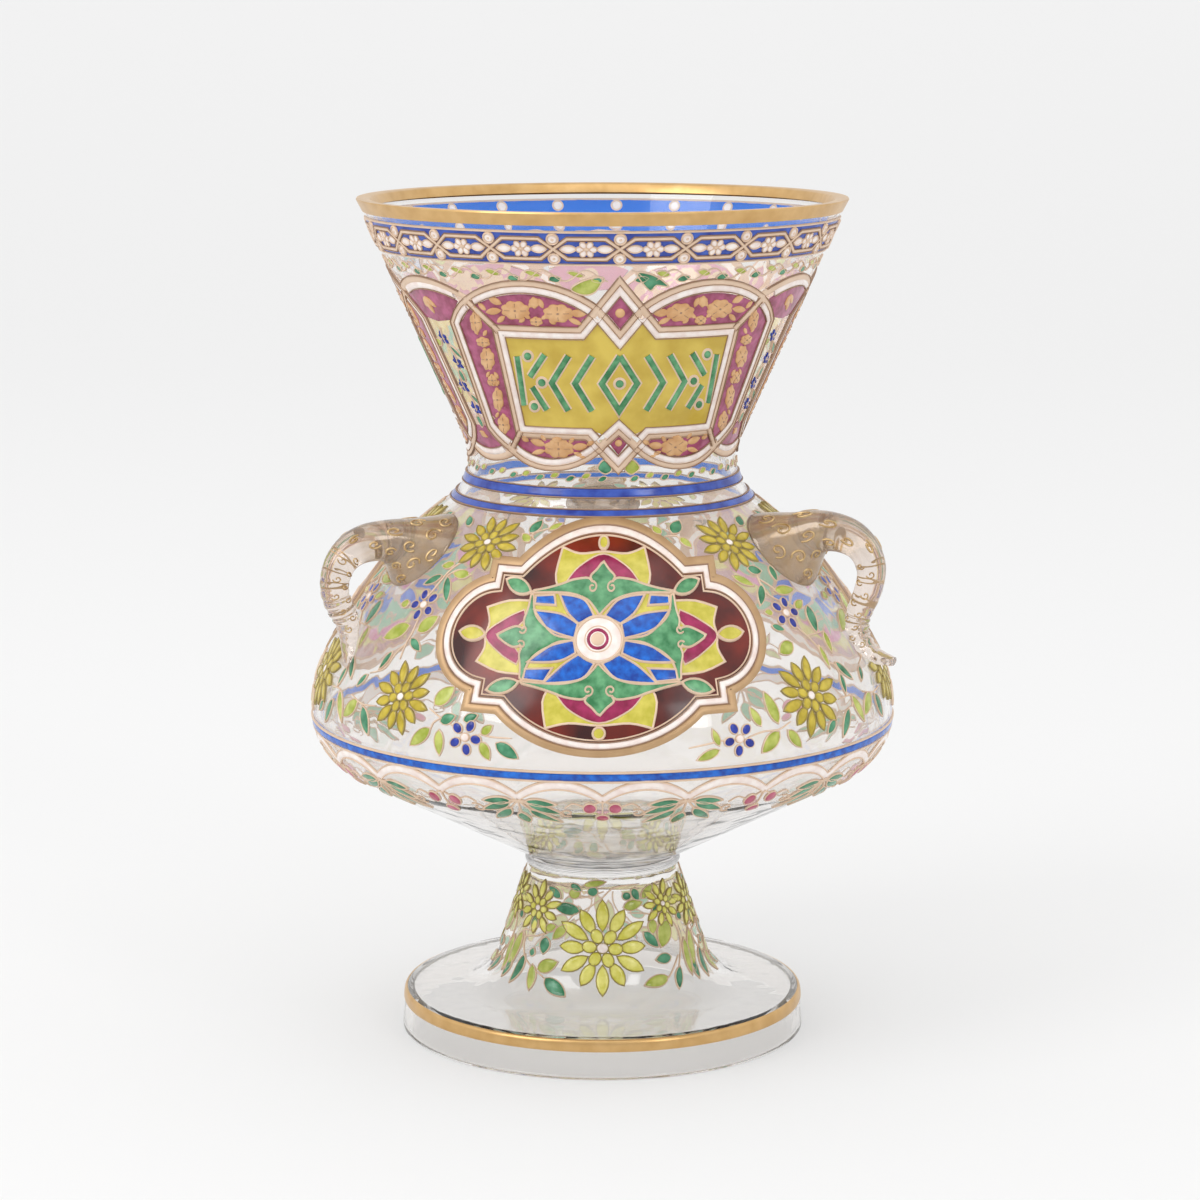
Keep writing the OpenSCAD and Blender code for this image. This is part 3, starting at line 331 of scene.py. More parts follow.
# %% [markdown]
# Three questions are asked of a wall all the time: how far along it a height lies, how wide
# it is there, and where a point of it is in space.

# %% Points on the wall
def length_at(curve, z):
    """Length along the profile at a height; heights fall along the curve."""
    return np.interp(-np.asarray(z, float), -curve["z"], curve["s"])


def radius_at(curve, z):
    """Radius of the profile at a height."""
    return np.interp(-np.asarray(z, float), -curve["z"], curve["r"])


def on_wall(curve, angle, s, lift):
    """Point at an angle from the front and a length down the wall, lifted along its normal."""
    at = {key: np.interp(s, curve["s"], curve[key]) for key in ("r", "z", "nr", "nz")}
    r = at["r"] + lift * at["nr"]
    z = at["z"] + lift * at["nz"] + 0 * angle
    return np.stack([r * np.sin(angle), -r * np.cos(angle), z], -1)


print("waist radius", round(float(radius_at(BODY, 162)), 1), "mm")

# %% [markdown]
# ## Meshes from grids
# Every piece is made of closed grids: rows of points, each row a closed ring. A grid either
# ends in a flat cap at both ends or joins its last row to its first. One function joins the
# grids of a piece into one mesh, another gives it its body and hides the CAD node it stands for.

# %% Grids into one object
CREASE = math.radians(50)


def mesh_object(name, grids, material, values=None, attribute="rim"):
    """One mesh from grids (rows, cols, 3) in mm: quads between rows, caps at open ends."""
    corners, sizes, points, count = [], [], [], 0
    for grid, ring in grids:
        rows, cols = grid.shape[:2]
        i = np.arange(rows if ring else rows - 1)[:, None]
        j = np.arange(cols)[None]
        k, m = (i + 1) % rows, (j + 1) % cols
        quads = np.stack([i * cols + j, i * cols + m, k * cols + m, k * cols + j], -1) + count
        corners.append(quads.reshape(-1))
        sizes.append(np.full(quads.size // 4, 4))
        if not ring:
            corners += [count + np.arange(cols)[::-1], count + (rows - 1) * cols + np.arange(cols)]
            sizes.append(np.array([cols, cols]))
        points.append(grid.reshape(-1, 3))
        count += rows * cols
    corners, sizes = np.concatenate(corners), np.concatenate(sizes)
    mesh = bpy.data.meshes.new(name)
    mesh.vertices.add(count)
    mesh.vertices.foreach_set("co", (np.concatenate(points) * MM).ravel())
    mesh.loops.add(len(corners))
    mesh.loops.foreach_set("vertex_index", corners.astype(np.int32))
    mesh.polygons.add(len(sizes))
    mesh.polygons.foreach_set("loop_start", (np.cumsum(sizes) - sizes).astype(np.int32))
    mesh.update(calc_edges=True)
    solid = bmesh.new()
    solid.from_mesh(mesh)
    bmesh.ops.recalc_face_normals(solid, faces=solid.faces)
    solid.to_mesh(mesh)
    solid.free()
    mesh.polygons.foreach_set("use_smooth", np.ones(len(sizes), bool))
    mesh.set_sharp_from_angle(angle=CREASE)
    if values is not None:
        layer = mesh.attributes.new(attribute, "FLOAT", "POINT")
        layer.data.foreach_set("value", np.concatenate([np.ravel(v) for v in values]).astype(np.float32))
    mesh.materials.append(material)
    made = bpy.data.objects.new(name, mesh)
    scene.collection.objects.link(made)
    return made


def keep(made, slot, *nodes):
    """The piece rides on the lamp and stands for CAD nodes, which it hides; slot is not used."""
    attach(made, "root")
    if nodes:
        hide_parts(*nodes)
    print(made.name, len(made.data.vertices), "points", len(made.data.polygons), "faces")


print("corners sharper than", round(math.degrees(CREASE)), "degrees stay sharp")

# %% [markdown]
# ## Blown glass
# Body, wafer and foot are turned shapes: a closed profile carried round the axis. The inner
# wall is the outer one moved in along its normal, and lip and edges are rounded by hand heat.

# %% Turned glass
TURN = np.linspace(0, 2 * np.pi, 160, endpoint=False)
AXIS, WALL, FOOT_WALL, FLOOR, FILLET, SEAM = 0.4, 2.4, 2.8, 4, 3, 0.04


def turned(profile):
    """Profile (r, z) carried round the axis: r times the sine and minus the cosine of TURN."""
    r, z = profile[:, 0, None], profile[:, 1, None]
    return np.stack([r * np.sin(TURN), -r * np.cos(TURN), z + 0 * TURN], -1), False


def both_walls(curve, wall, low, high):
    """Outer profile, and the inner one between two heights, moved in along the normal."""
    inner = np.stack([curve["r"] - wall * curve["nr"], curve["z"] - wall * curve["nz"]], 1)
    return np.stack([curve["r"], curve["z"]], 1), inner[(inner[:, 1] > low) & (inner[:, 1] < high)]


def edge(p, q, bulge, count=7):
    """Half-round edge from p to q: half an ellipse that stands out by bulge."""
    t = np.linspace(0, np.pi, count + 2)[1:-1, None]
    p, q = np.array(p, float), np.array(q, float)
    along = (q - p) / np.linalg.norm(q - p)
    out = np.array([along[1], -along[0]]) * bulge
    return (p + q) / 2 - (q - p) / 2 * np.cos(t) + out * np.sin(t)


outside, inside = both_walls(BODY, WALL, BASE + FLOOR, LIP)
body_line = [[(AXIS, BASE), (12, BASE)], outside[::-2][:-1],
             edge((68.3, LIP - 0.5), (66.2, LIP - 0.5), -0.5), inside[1::2],
             [(inside[-1, 0] - FILLET, BASE + FLOOR), (AXIS, BASE + FLOOR)]]
low, high = FOOT_TOP + SEAM, BASE - SEAM
wafer_line = [[(AXIS, low), (20, low)], edge((STEM, low), (STEM, high), 1.0), [(20, high), (AXIS, high)]]
outside, inside = both_walls(FOOT, FOOT_WALL, 0.4, FOOT_TOP - FLOOR)
foot_line = [[(AXIS, FOOT_TOP), (12, FOOT_TOP)], outside[1:-2], edge((58.35, 0.4), (55.6, 0.4), -0.4),
             inside[::-1], [(inside[0, 0] - FILLET, FOOT_TOP - FLOOR), (AXIS, FOOT_TOP - FLOOR)]]
for name, line, cad_node in (("body_glass", body_line, "vessel"),
                             ("wafer_glass", wafer_line, "joining_wafer"),
                             ("foot_glass", foot_line, "foot")):
    keep(mesh_object(name, [turned(np.concatenate(line))], clear_glass), "clear_glass", cad_node)

# %% [markdown]
# ## Flat drawings laid on the wall
# A motif is drawn flat, in millimetres, and then laid on the wall by a chart. On the neck the
# drawing is rolled round the cone. The medallion is drawn as it is seen from in front. A
# flower is a small patch round its own middle.

# %% Charts
HAND_LEAN, LEAN_FROM = 0.0007, 208


def neck_chart(turn):
    """Drawing rolled round the neck: x is arc length from the middle, y is height. The hand
    that painted it leaned: lower points lie a little further round."""
    return lambda x, y: (BODY, turn + x / radius_at(BODY, y) + HAND_LEAN * (LEAN_FROM - y),
                         length_at(BODY, y))


def front_chart(turn):
    """Drawing seen from in front: y is height and x, sideways, is the radius times the sine
    of the angle."""
    return lambda x, y: (BODY, turn + np.arcsin(np.clip(x / radius_at(BODY, y), -1, 1)),
                         length_at(BODY, y))


def patch_chart(curve, turn, z):
    """Small drawing round a point of the wall: x runs round, y runs up the wall."""
    s = length_at(curve, z)
    return lambda x, y: (curve, turn + x / np.interp(s - y, curve["s"], curve["r"]), s - y)


def patches(curve, degrees, z):
    """The same patch on each third of the lamp."""
    return [patch_chart(curve, turn + np.radians(degrees), z) for turn in THIRDS]


FIRST = np.radians(4.9)
NECK = [neck_chart(turn) for turn in THIRDS + FIRST]
FRONT = [front_chart(turn) for turn in THIRDS]
print("charts on neck and front", len(NECK), len(FRONT))

# %% [markdown]
# A brush line follows a path. The path is first cut into short parts, so that it can bend with
# the wall, and each point gets a way to the left, so that lines can run beside one another.

# %% Paths
MITRE = 0.4


def divided(path, step, closed=False):
    """Path with each of its segments cut into equal parts no longer than step."""
    path = np.asarray(path, float)
    ends = np.roll(path, -1, 0) if closed else path[1:]
    heads = path if closed else path[:-1]
    parts = np.maximum(1, np.ceil(np.hypot(*(ends - heads).T) / step)).astype(int)
    which = np.repeat(np.arange(len(parts)), parts)
    t = (np.arange(len(which)) - np.repeat(np.cumsum(parts) - parts, parts)) / parts[which]
    line = heads[which] + t[:, None] * (ends - heads)[which]
    return line if closed else np.concatenate([line, path[-1:]])


def sideways(path, closed=False):
    """Mitred unit offset to the left at each point: the mean of both normals over its share
    along one of them, which isn't less than MITRE."""
    after = np.roll(path, -1, 0) if closed else np.vstack([path[1:], 2 * path[-1:] - path[-2:-1]])
    ahead = after - path
    ahead /= np.maximum(np.hypot(*ahead.T), 1e-9)[:, None]
    normal = np.stack([-ahead[:, 1], ahead[:, 0]], 1)
    last = np.roll(normal, 1, 0)
    if not closed:
        last[0] = normal[0]
    mean = normal + last
    mean /= np.maximum(np.hypot(*mean.T), 1e-9)[:, None]
    return mean / np.maximum((mean * normal).sum(1), MITRE)[:, None]


print("a 5 mm path in steps of 1.2 mm has", len(divided([(0, 0), (5, 0)], 1.2)), "points")

# %% [markdown]
# Lines are half-round strokes along a path, with mitred corners. Colours are pads: an outline
# shrunk towards its middle in rings, each ring lifted a little more. Long fields run between
# two rails. All of them start a little way inside the glass, so no gap shows.

# %% Strokes, pads and fields
BED, DEEPER = 0.12, 0.3
GATHERED, OPEN = 1.6, 0.98


def sunk(height):
    """Lift of a layer's underside, inside the glass: BED deep and DEEPER by a share of its
    height, so that a motif on top of another also lies in front of it seen from behind."""
    return -BED - DEEPER * height


def domed(t, low, high, power=4):
    """Height across a layer: from low at t = -1 and 1 up to high between them, as the root of
    one minus a power of t."""
    return low + (high - low) * np.sqrt(np.clip(1 - t ** power, 0, 1))


def stroke(path, width, top, step=1.2, closed=False, taper=0.0, base=None):
    """Half-round line of a width along a path; taper narrows both ends. It starts at the
    lift called base, or in the glass."""
    path = divided(path, step, closed)
    off = sideways(path, closed)
    wide = width * (1 - taper * np.linspace(-1, 1, len(path)) ** 4)
    across = np.array([0.5, 0.5, 0.34, 0, -0.34, -0.5, -0.5])
    base = sunk(top) if base is None else base
    lift = np.array([base, 0.3 * top, 0.82 * top, top, 0.82 * top, 0.3 * top, base])
    points = path[:, None] + off[:, None] * (wide[:, None] * across)[..., None]
    return points, np.broadcast_to(lift, points.shape[:2]), closed


def pad(outline, low, high, rings=6, middle=None, base=None):
    """Outline shrunk to its middle in rings, which are gathered at the rim: low at the rim,
    high inside, sunk underneath."""
    outline = np.asarray(outline, float)
    middle = outline.mean(0) if middle is None else np.asarray(middle, float)
    share = 1 - np.linspace(1, 0, rings) ** GATHERED * OPEN
    under = np.full(rings, sunk(high) if base is None else base)
    lift = np.concatenate([domed(share, low, high), under])
    share = np.concatenate([share, share[::-1]])
    points = middle + share[:, None, None] * (outline - middle)
    return points, np.broadcast_to(lift[:, None], points.shape[:2]), False


def field(rail, other, low, high, steps=7):
    """Ladder between two rails with the same number of points; the steps of each rung follow
    a cosine, so they are closer at the rails."""
    t = (1 - np.cos(np.linspace(0, np.pi, steps))) / 2
    lift = np.concatenate([domed(2 * t - 1, low, high), np.full(steps, sunk(high))])
    t = np.concatenate([t, t[::-1]])[:, None]
    points = rail[:, None] * (1 - t) + other[:, None] * t
    return points, np.broadcast_to(lift, points.shape[:2]), False


print("a layer 0.5 mm high starts", sunk(0.5), "mm in the glass")

# %% [markdown]
# A painter lays one colour after another. The brush below keeps a list of drawn shapes for
# each colour, with the charts that lay each shape on the wall. When a motif is done, one call
# makes a piece of a whole list.

# %% Brush
def rim_of(lift):
    """Nearness to the rim: 0 at the highest point, 1 at the lowest, 2 on the underside."""
    top, low = lift.max(), lift[lift > 0].min()
    near = np.clip((top - lift) / max(top - low, 1e-6), 0, 1)
    return np.where(lift < 0, 2.0, near)


def lay(shape, chart):
    """Drawn shape (points, lift, ring) as a grid in space."""
    points, lift, ring = shape
    curve, angle, s = chart(points[..., 0], points[..., 1])
    return on_wall(curve, angle, s, lift), ring


class Brush:
    """Lists of drawn shapes, each with a chart that was in use when it was drawn."""

    def __init__(self, charts=()):
        """Starts with charts and no shapes."""
        self.charts = charts
        self.lists = {}

    def add(self, key, *shapes):
        """Puts shapes on a list, once for each chart."""
        laid = [(shape, chart) for chart in self.charts for shape in shapes]
        self.lists[key] = self.lists.get(key, []) + laid

    def cell(self, key, line, outline, heights, drawn, step=0.9, rings=4, base=None):
        """A pad of colour from low to high, and round it a line of a width and a height."""
        self.add(key, pad(outline, *heights, rings, base=base))
        self.add(line, stroke(outline, *drawn, step, True, base=base))

    def piece(self, name, paint, *nodes, of=None):
        """One piece from a list, in a paint; the list has the paint's name or another."""
        slot, material = PAINT[paint]
        laid = self.lists[of or paint]
        grids = [lay(shape, chart) for shape, chart in laid]
        keep(mesh_object(name, grids, material, [rim_of(shape[1]) for shape, chart in laid]), slot, *nodes)


print("a new brush has", len(Brush(NECK).lists), "lists")

# %% [markdown]
# Outlines come from a few drawing tools, as a painter knows the same strokes by heart: arcs,
# pointed leaves, ellipses, petals and lobed blossoms.

# %% Outlines
def way(degrees):
    """Unit vector at an angle: its cosine and sine."""
    return np.array([np.cos(np.radians(degrees)), np.sin(np.radians(degrees))])


def turned_to(line, degrees):
    """Flat points turned about the origin by a rotation matrix."""
    c, s = way(degrees)
    return line @ np.array([[c, s], [-s, c]])


def arc(p, q, rise, count=16):
    """Arc from p to q that stands out to the left by rise: half its angle is twice the arc
    tangent of rise over half the chord."""
    p, q = np.asarray(p, float), np.asarray(q, float)
    half = np.linalg.norm(q - p) / 2
    along = (q - p) / (2 * half)
    left = np.array([-along[1], along[0]])
    a = 2 * np.arctan(rise / half)
    r = half / np.sin(a)
    t = np.linspace(-a, a, count)[:, None]
    return (p + q) / 2 + left * (r * np.cos(t) - r * np.cos(a)) + along * r * np.sin(t)


def almond(p, q, width, count=10):
    """Pointed leaf from p to q: two arcs that each stand out by half the width."""
    return np.concatenate([arc(p, q, width / 2, count)[:-1], arc(q, p, width / 2, count)[:-1]])


def sprig(start, degrees, length, width):
    """Pointed leaf that starts at a point and grows at an angle."""
    return almond(start, start + way(degrees) * length, width, 7)


def ellipse(middle, a, b, turn=0.0, count=20):
    """Ellipse with half axes a and b, turned by an angle in degrees."""
    t = np.linspace(0, 2 * np.pi, count, endpoint=False)
    return np.asarray(middle, float) + turned_to(np.stack([a * np.cos(t), b * np.sin(t)], 1), turn)


def petal(middle, turn, start, end, width, count=9):
    """Petal that points away from a middle: half its width is a power of the sine of a power
    of the way along, so it is blunt and has a soft point."""
    t = np.linspace(0, 1, count)
    half = width / 2 * np.sin(np.pi * t ** 0.85) ** 0.75
    side = np.stack([start + (end - start) * t, half], 1)
    outline = np.concatenate([side[:-1], (side * [1, -1])[::-1][:-1]])
    return np.asarray(middle, float) + turned_to(outline, turn)


def lobed(middle, size, lobes, turn, squash, depth=0.16, count=40):
    """Lobed outline: the radius falls by depth between the lobes."""
    t = np.linspace(0, 2 * np.pi, count, endpoint=False)
    r = size * (1 - depth + depth * np.abs(np.cos(lobes * (t - np.radians(turn)) / 2)))
    return middle + np.stack([r * np.cos(t), r * squash * np.sin(t)], 1)


print("a leaf has", len(almond((0, 0), (4, 0), 2)), "points")

# %% [markdown]
# Freer shapes are smooth curves through a few points. Most motifs are the same left and
# right, so half of them is drawn and mirrored, and an outline can be grown or shrunk.

# %% Curves and mirror images
def smooth(points, count=24, closed=False):
    """Catmull-Rom curve through the points."""
    p = np.asarray(points, float)
    n = len(p)
    u = np.linspace(0, n if closed else n - 1, count, endpoint=not closed)
    i = np.minimum(u.astype(int), (n if closed else n - 1) - 1)
    t = (u - i)[:, None]
    a, b, c, d = (p[k % n if closed else np.clip(k, 0, n - 1)] for k in (i - 1, i, i + 1, i + 2))
    return 0.5 * (2 * b + (c - a) * t + (2 * a - 5 * b + 4 * c - d) * t ** 2
                  + (3 * b - a - 3 * c + d) * t ** 3)


def halves(points, axis=0):
    """A motif and its mirror image, across the upright axis (0) or the level one (1)."""
    p = np.asarray(points, float)
    return [p, p * ([-1, 1] if axis == 0 else [1, -1])]


def both(half):
    """Half outline from top to bottom, joined with its mirror image."""
    half, other = halves(half)
    other = other[::-1]
    return np.concatenate([half, other[np.abs(other[:, 0]) > 0.01]])


def grown(outline, d):
    """Closed outline moved outwards by d: clockwise, so outwards is to the left."""
    return outline + sideways(outline, True) * d


print("half a square joined has", len(both([(0, 1), (1, 1), (1, -1), (0, -1)])), "points")

# %% [markdown]
# ## Handles
# Each handle is a gather of hot glass: a broad root pressed on the shoulder, a trunk bent over
# and down, pressed on the bowl and pinched off. The left tip is pinched down the bowl and the
# right one is drawn outwards. In the upright plane through the axis a handle is the strip
# between an upper and a lower line. Its skin is an oval between the two, carried along them,
# and what would reach inside the wall is laid back on its surface.

# %% Handle surfaces
# Stations: radius and height of the upper line, the same of the lower line, half breadth
ROOT = [[46.6, 152.4, 64.2, 133.8, 11.6], [47.6, 153.1, 65.1, 134.4, 11.6]]
CURLED = ROOT + [
    [52.4, 153.8, 66.6, 137.2, 9.5], [59.0, 154.3, 67.8, 140.8, 7.7], [66.3, 155.4, 69.3, 143.8, 6.3],
    [73.3, 154.9, 72.1, 144.3, 5.5], [79.7, 152.6, 75.3, 143.8, 5.0], [84.6, 147.8, 77.6, 142.6, 4.6],
    [87.0, 141.8, 79.0, 140.0, 4.3], [86.7, 136.1, 79.1, 137.5, 4.1], [85.0, 130.8, 78.0, 133.4, 4.0],
    [83.0, 126.8, 76.4, 129.0, 3.9], [82.4, 124.6, 75.8, 124.6, 3.8], [82.4, 122.5, 77.2, 120.1, 3.7],
    [83.7, 119.9, 80.3, 116.5, 3.6], [86.1, 117.7, 84.3, 114.1, 3.2], [88.5, 116.7, 87.9, 113.5, 2.6],
    [90.4, 116.0, 90.0, 113.6, 1.8]]
PINCHED = ROOT + [
    [52.4, 152.7, 66.0, 136.8, 9.5], [59.0, 152.6, 67.0, 139.5, 7.7], [66.6, 152.7, 68.6, 141.2, 6.3],
    [74.2, 151.9, 71.6, 141.5, 5.5], [80.2, 149.1, 75.0, 140.9, 5.0], [84.6, 144.3, 77.4, 139.3, 4.6],
    [86.7, 138.4, 78.7, 136.8, 4.3], [86.6, 132.6, 79.0, 134.0, 4.1], [84.7, 127.7, 77.9, 130.7, 4.0],
    [82.6, 124.3, 76.2, 126.1, 3.8], [81.3, 120.4, 76.5, 120.4, 3.4], [80.8, 116.4, 77.6, 116.0, 2.4],
    [80.6, 113.8, 78.6, 113.4, 1.4]]
TRUNK_ROWS = 110
HANDLES = {side: (degrees, smooth(stations, TRUNK_ROWS)) for side, degrees, stations in
           (("left", -63, PINCHED), ("right", 63, CURLED), ("back", 180, CURLED))}
AROUND = np.linspace(0, 2 * np.pi, 36, endpoint=False)


def trunk_point(rows, row, around, lift):
    """Point of the handle's skin at a row number and an angle round it, in its own plane:
    an oval whose axes are the way from the lower to the upper line and the breadth."""
    top_r, top_z, low_r, low_z, broad = (np.interp(row, np.arange(len(rows)), line) for line in rows.T)
    tall = np.hypot(top_r - low_r, top_z - low_z) / 2
    share = (tall + lift) / tall * np.cos(around) / 2
    rho = (top_r + low_r) / 2 + (top_r - low_r) * share
    z = (top_z + low_z) / 2 + (top_z - low_z) * share
    return np.stack([rho, z, (broad + lift) * np.sin(around)], -1)


def stand(points, degrees, depth):
    """Handle's plane (rho, z, breadth) turned to its angle round the lamp. Points deeper in
    the body than depth first move out along the wall's normal."""
    rho = np.hypot(points[..., 0], points[..., 2])
    s = length_at(BODY, points[..., 1])
    r, nr, nz = (np.interp(s, BODY["s"], BODY[key]) for key in ("r", "nr", "nz"))
    push = np.clip((r - rho) * nr - depth, 0, None)
    scale = (rho + push * nr) / np.maximum(rho, 1e-6)
    out, z, b = points[..., 0] * scale, points[..., 1] + push * nz, points[..., 2] * scale
    c, s = way(degrees)
    return np.stack([out * s + b * c, -out * c + b * s, z], -1)


BURIED = 0.12
WRINKLE, WRINKLED_ROW, WRINKLED_REACH = 0.22, 82, 14
FADES_FROM, FADES_OVER, THINNEST = 16, 40, 0.12
for side, (degrees, rows) in HANDLES.items():
    row = np.linspace(0, len(rows) - 1, 150)[:, None]
    wrinkle = WRINKLE * np.exp(-((row - WRINKLED_ROW) / WRINKLED_REACH) ** 2) * np.cos(row * 1.35)
    grid = stand(trunk_point(rows, row, AROUND, wrinkle), degrees, BURIED)
    film = np.clip(1 - (row - FADES_FROM) / FADES_OVER, THINNEST, 1) + 0 * AROUND
    made = mesh_object("handle_glass_" + side, [(grid, False)], lustred_glass, [film], "lustre")
    keep(made, "clear_glass", "handle_" + side)

# %% [markdown]
# ## Gold scrolls on the handles
# Spirals of raised gold cover the root and thin out along the trunk. Each is a stroke drawn
# on the handle's own skin: row number and angle round it.

# %% Handle scrolls
def skin_stroke(rows, path, width, degrees):
    """Half-round line on a handle, from points (row, angle) of its skin."""
    path = smooth(path, 6 * len(path))
    line = trunk_point(rows, path[:, 0], path[:, 1], 0)
    ahead = np.gradient(line, axis=0)
    ahead /= np.linalg.norm(ahead, axis=1)[:, None]
    out = trunk_point(rows, path[:, 0], path[:, 1], 1) - line
    out /= np.linalg.norm(out, axis=1)[:, None]
    left = np.cross(out, ahead)
    across = width * np.array([0.5, 0.36, 0, -0.36, -0.5])[None, :, None]
    lift = np.array([-0.1, 0.22, 0.34, 0.22, -0.1])[None, :, None]
    return stand(line[:, None] + left[:, None] * across + out[:, None] * lift, degrees, 0.0), False


def spiral(row, around, size, hand, turns=1.4, spread=0.075):
    """Spiral in rows and radians: the radius grows evenly with the angle."""
    t = np.linspace(0.15, 1, 14)
    a = hand * turns * 2 * np.pi * t
    return np.stack([row + size * t * np.cos(a), around + size * spread * t * np.sin(a)], 1)


# Row, angle, size and hand of the large spirals; row and angle of the small ones
LARGE = [(13, 0.5, 3.0, 1), (17, 1.05, 3.4, -1), (12, 1.6, 3.0, 1), (17, 2.1, 3.4, -1),
         (13, 2.65, 3.0, 1), (23, 0.5, 3.2, -1), (24, 1.55, 3.4, 1), (23, 2.6, 3.2, -1),
         (31, 0.95, 3.2, 1), (32, 2.0, 3.0, -1), (39, 1.5, 3.0, 1), (45, 0.8, 2.6, -1)]
SMALL = [(50, 1.9), (54, 1.2), (58, 2.1), (62, 1.3), (66, 2.0), (70, 1.2), (74, 2.1), (78, 1.3),
         (83, 1.8), (88, 1.2)]
scrolls = []
for degrees, rows in HANDLES.values():
    for sign in (-1, 1):
        scrolls += [skin_stroke(rows, spiral(row, sign * a, size, sign * hand), 0.62, degrees)
                    for row, a, size, hand in LARGE]
        scrolls += [skin_stroke(rows, spiral(row, sign * a, 1.7, (-1) ** k, 1.2, 0.2), 0.36, degrees)
                    for k, (row, a) in enumerate(SMALL)]
keep(mesh_object("handle_gilt_scrolls", scrolls, PAINT["gold_scroll"][1]), "gilding")

# %% [markdown]
# ## Bands and rings
# Plain bands run right round: the blue border, two rings at the waist, one at the belly, the
# gilt edge of the foot, and thin gilt lines beside the blue. Each is the wall's own curve
# between two heights, lifted by the thickness of the layer. The lip is gilded outside, over
# the top and a little way inside, as one thin sleeve.

# %% Bands round the lamp
def band(curve, top, bottom, low, high, rows):
    """Closed ribbon round the axis between two heights: rounded outside, sunk inside."""
    s = np.linspace(length_at(curve, top), length_at(curve, bottom), rows)
    lift = np.concatenate([domed(np.linspace(-1, 1, rows), low, high, 6), np.full(rows, sunk(0))])
    return on_wall(curve, TURN[:, None], np.concatenate([s, s[::-1]])[None], lift[None]), True


def ring_piece(name, curve, heights, paint, cad_node, low, high, rows):
    """Piece of bands between pairs of heights, with the underside marked for the paint."""
    slot, material = PAINT[paint]
    bands = [band(curve, top, bottom, low, high, rows) for top, bottom in heights]
    under = [np.broadcast_to(np.repeat([0.0, 2.0], rows), grid.shape[:2]) for grid, ring in bands]
    keep(mesh_object(name, bands, material, under), slot, cad_node)


BORDER_TOP, BORDER_LOW = 234.5, 226.1
for name, heights, paint, cad_node in (
        ("border_blue", [(BORDER_TOP, BORDER_LOW)], "blue", "border_blue_band"),
        ("waist_blue_upper", [(162.6, 160.2)], "blue", "waist_ring_upper"),
        ("waist_blue_lower", [(157.0, 155.4)], "blue", "waist_ring_lower"),
        ("belly_blue", [(92.8, 90.7)], "vivid_blue", "belly_blue_ring")):
    ring_piece(name, BODY, heights, paint, cad_node, 0.12, 0.4, 9)
for name, heights, paint, cad_node in (
        ("border_gold_lines", [(235.0, 234.4), (226.2, 225.6)], "gold_line", "border_gilt_lines"),
        ("waist_gold_lines", [(162.9, 162.5), (160.3, 159.9), (157.3, 156.9), (155.5, 155.1)],
         "brown_line", "waist_gilt_lines"),
        ("belly_gold_lines", [(93.4, 92.7), (90.8, 90.1)], "gold_line", "belly_gilt_lines")):
    ring_piece(name, BODY, heights, paint, cad_node, 0.2, 0.5, 5)
ring_piece("foot_gold_band", FOOT, [(11.3, 8.0)], "gold_band", "foot_gilding", 0.1, 0.3, 9)
SLEEVE = np.array([(66.9, 236.3), (67.5, 236.3), (69.2, 239.5), (69.0, 239.9), (67.4, 240.0), (65.6, 239.7),
                   (65.3, 239.4), (64.3, 237.2), (64.8, 237.2), (65.9, 239.2), (67.3, 239.5), (68.3, 239.2)])
sleeve = turned(SLEEVE)[0].transpose(1, 0, 2)
made = mesh_object("lip_gold", [(sleeve, True)], PAINT["gold_band"][1], [np.zeros(sleeve.shape[:2])])
keep(made, "gilding", "rim_gilding")

# %% [markdown]
# ## Border round the neck
# Gold lines run along the blue band as linked long hexagons and cross between them. A pearl
# sits above and below each crossing, and each hexagon holds a white rosette with two buds.

# %% Border lattice, pearls and rosettes
CELLS, FIRST_CELL, INSET = 23, np.radians(4.1), 0.06
BORDER = (BORDER_TOP + BORDER_LOW) / 2
cell_turn = 2 * np.pi / CELLS
at_crossings, at_middles = ([patch_chart(BODY, FIRST_CELL + (k + share) * cell_turn, BORDER)
                             for k in range(CELLS)] for share in (0, 0.5))
hexagon = np.array([(-0.5, 0), (-0.29, 0.355), (0.29, 0.355), (0.5, 0)]) * [
    cell_turn * radius_at(BODY, BORDER), BORDER_TOP - BORDER_LOW]
border = Brush(at_middles)
for flip in (1, -1):
    path = hexagon * [1, flip]
    border.add("gold_line", stroke(path, 1.1, 0.85, base=INSET))
    border.add("brown_line", *(stroke(path + sideways(path) * d, 0.2, 0.78, base=INSET) for d in (0.6, -0.6)))
    bud = almond((2.6 * flip, 0), (7.1 * flip, 0), 2.2, 8)
    border.cell("white", "gold_line", bud, (0.4, 0.7), (0.45, 0.82), 1.2, base=INSET)
for a in range(0, 360, 60):
    bloom = ellipse(way(a) * [1.75, 1.4], 1.05, 0.82, a, 14)
    border.cell("white", "gold_line", bloom, (0.5, 0.85), (0.34, 0.9), 0.8, base=INSET)
border.add("gold_line", pad(ellipse((0, 0), 0.75, 0.6, count=10), 0.7, 1.0, 3, base=INSET))
border.charts = at_crossings
for y in (2.85, -2.85):
    border.add("pearls", pad(ellipse((0, y), 1.3, 1.25), 0.4, 0.8, 4))
    border.add("gold_line", stroke(ellipse((0, y), 1.5, 1.45), 0.6, 0.9, closed=True),
               pad(ellipse((0, y), 0.5, 0.45, count=10), 0.7, 0.95, 3, base=INSET))
border.piece("border_brown_edges", "brown_line")
border.piece("border_gold_lattice", "gold_line", "border_gilt_lattice")
border.piece("border_white_pearls", "white", "border_pearls", of="pearls")
border.piece("border_white_rosettes", "white", "border_rosettes")

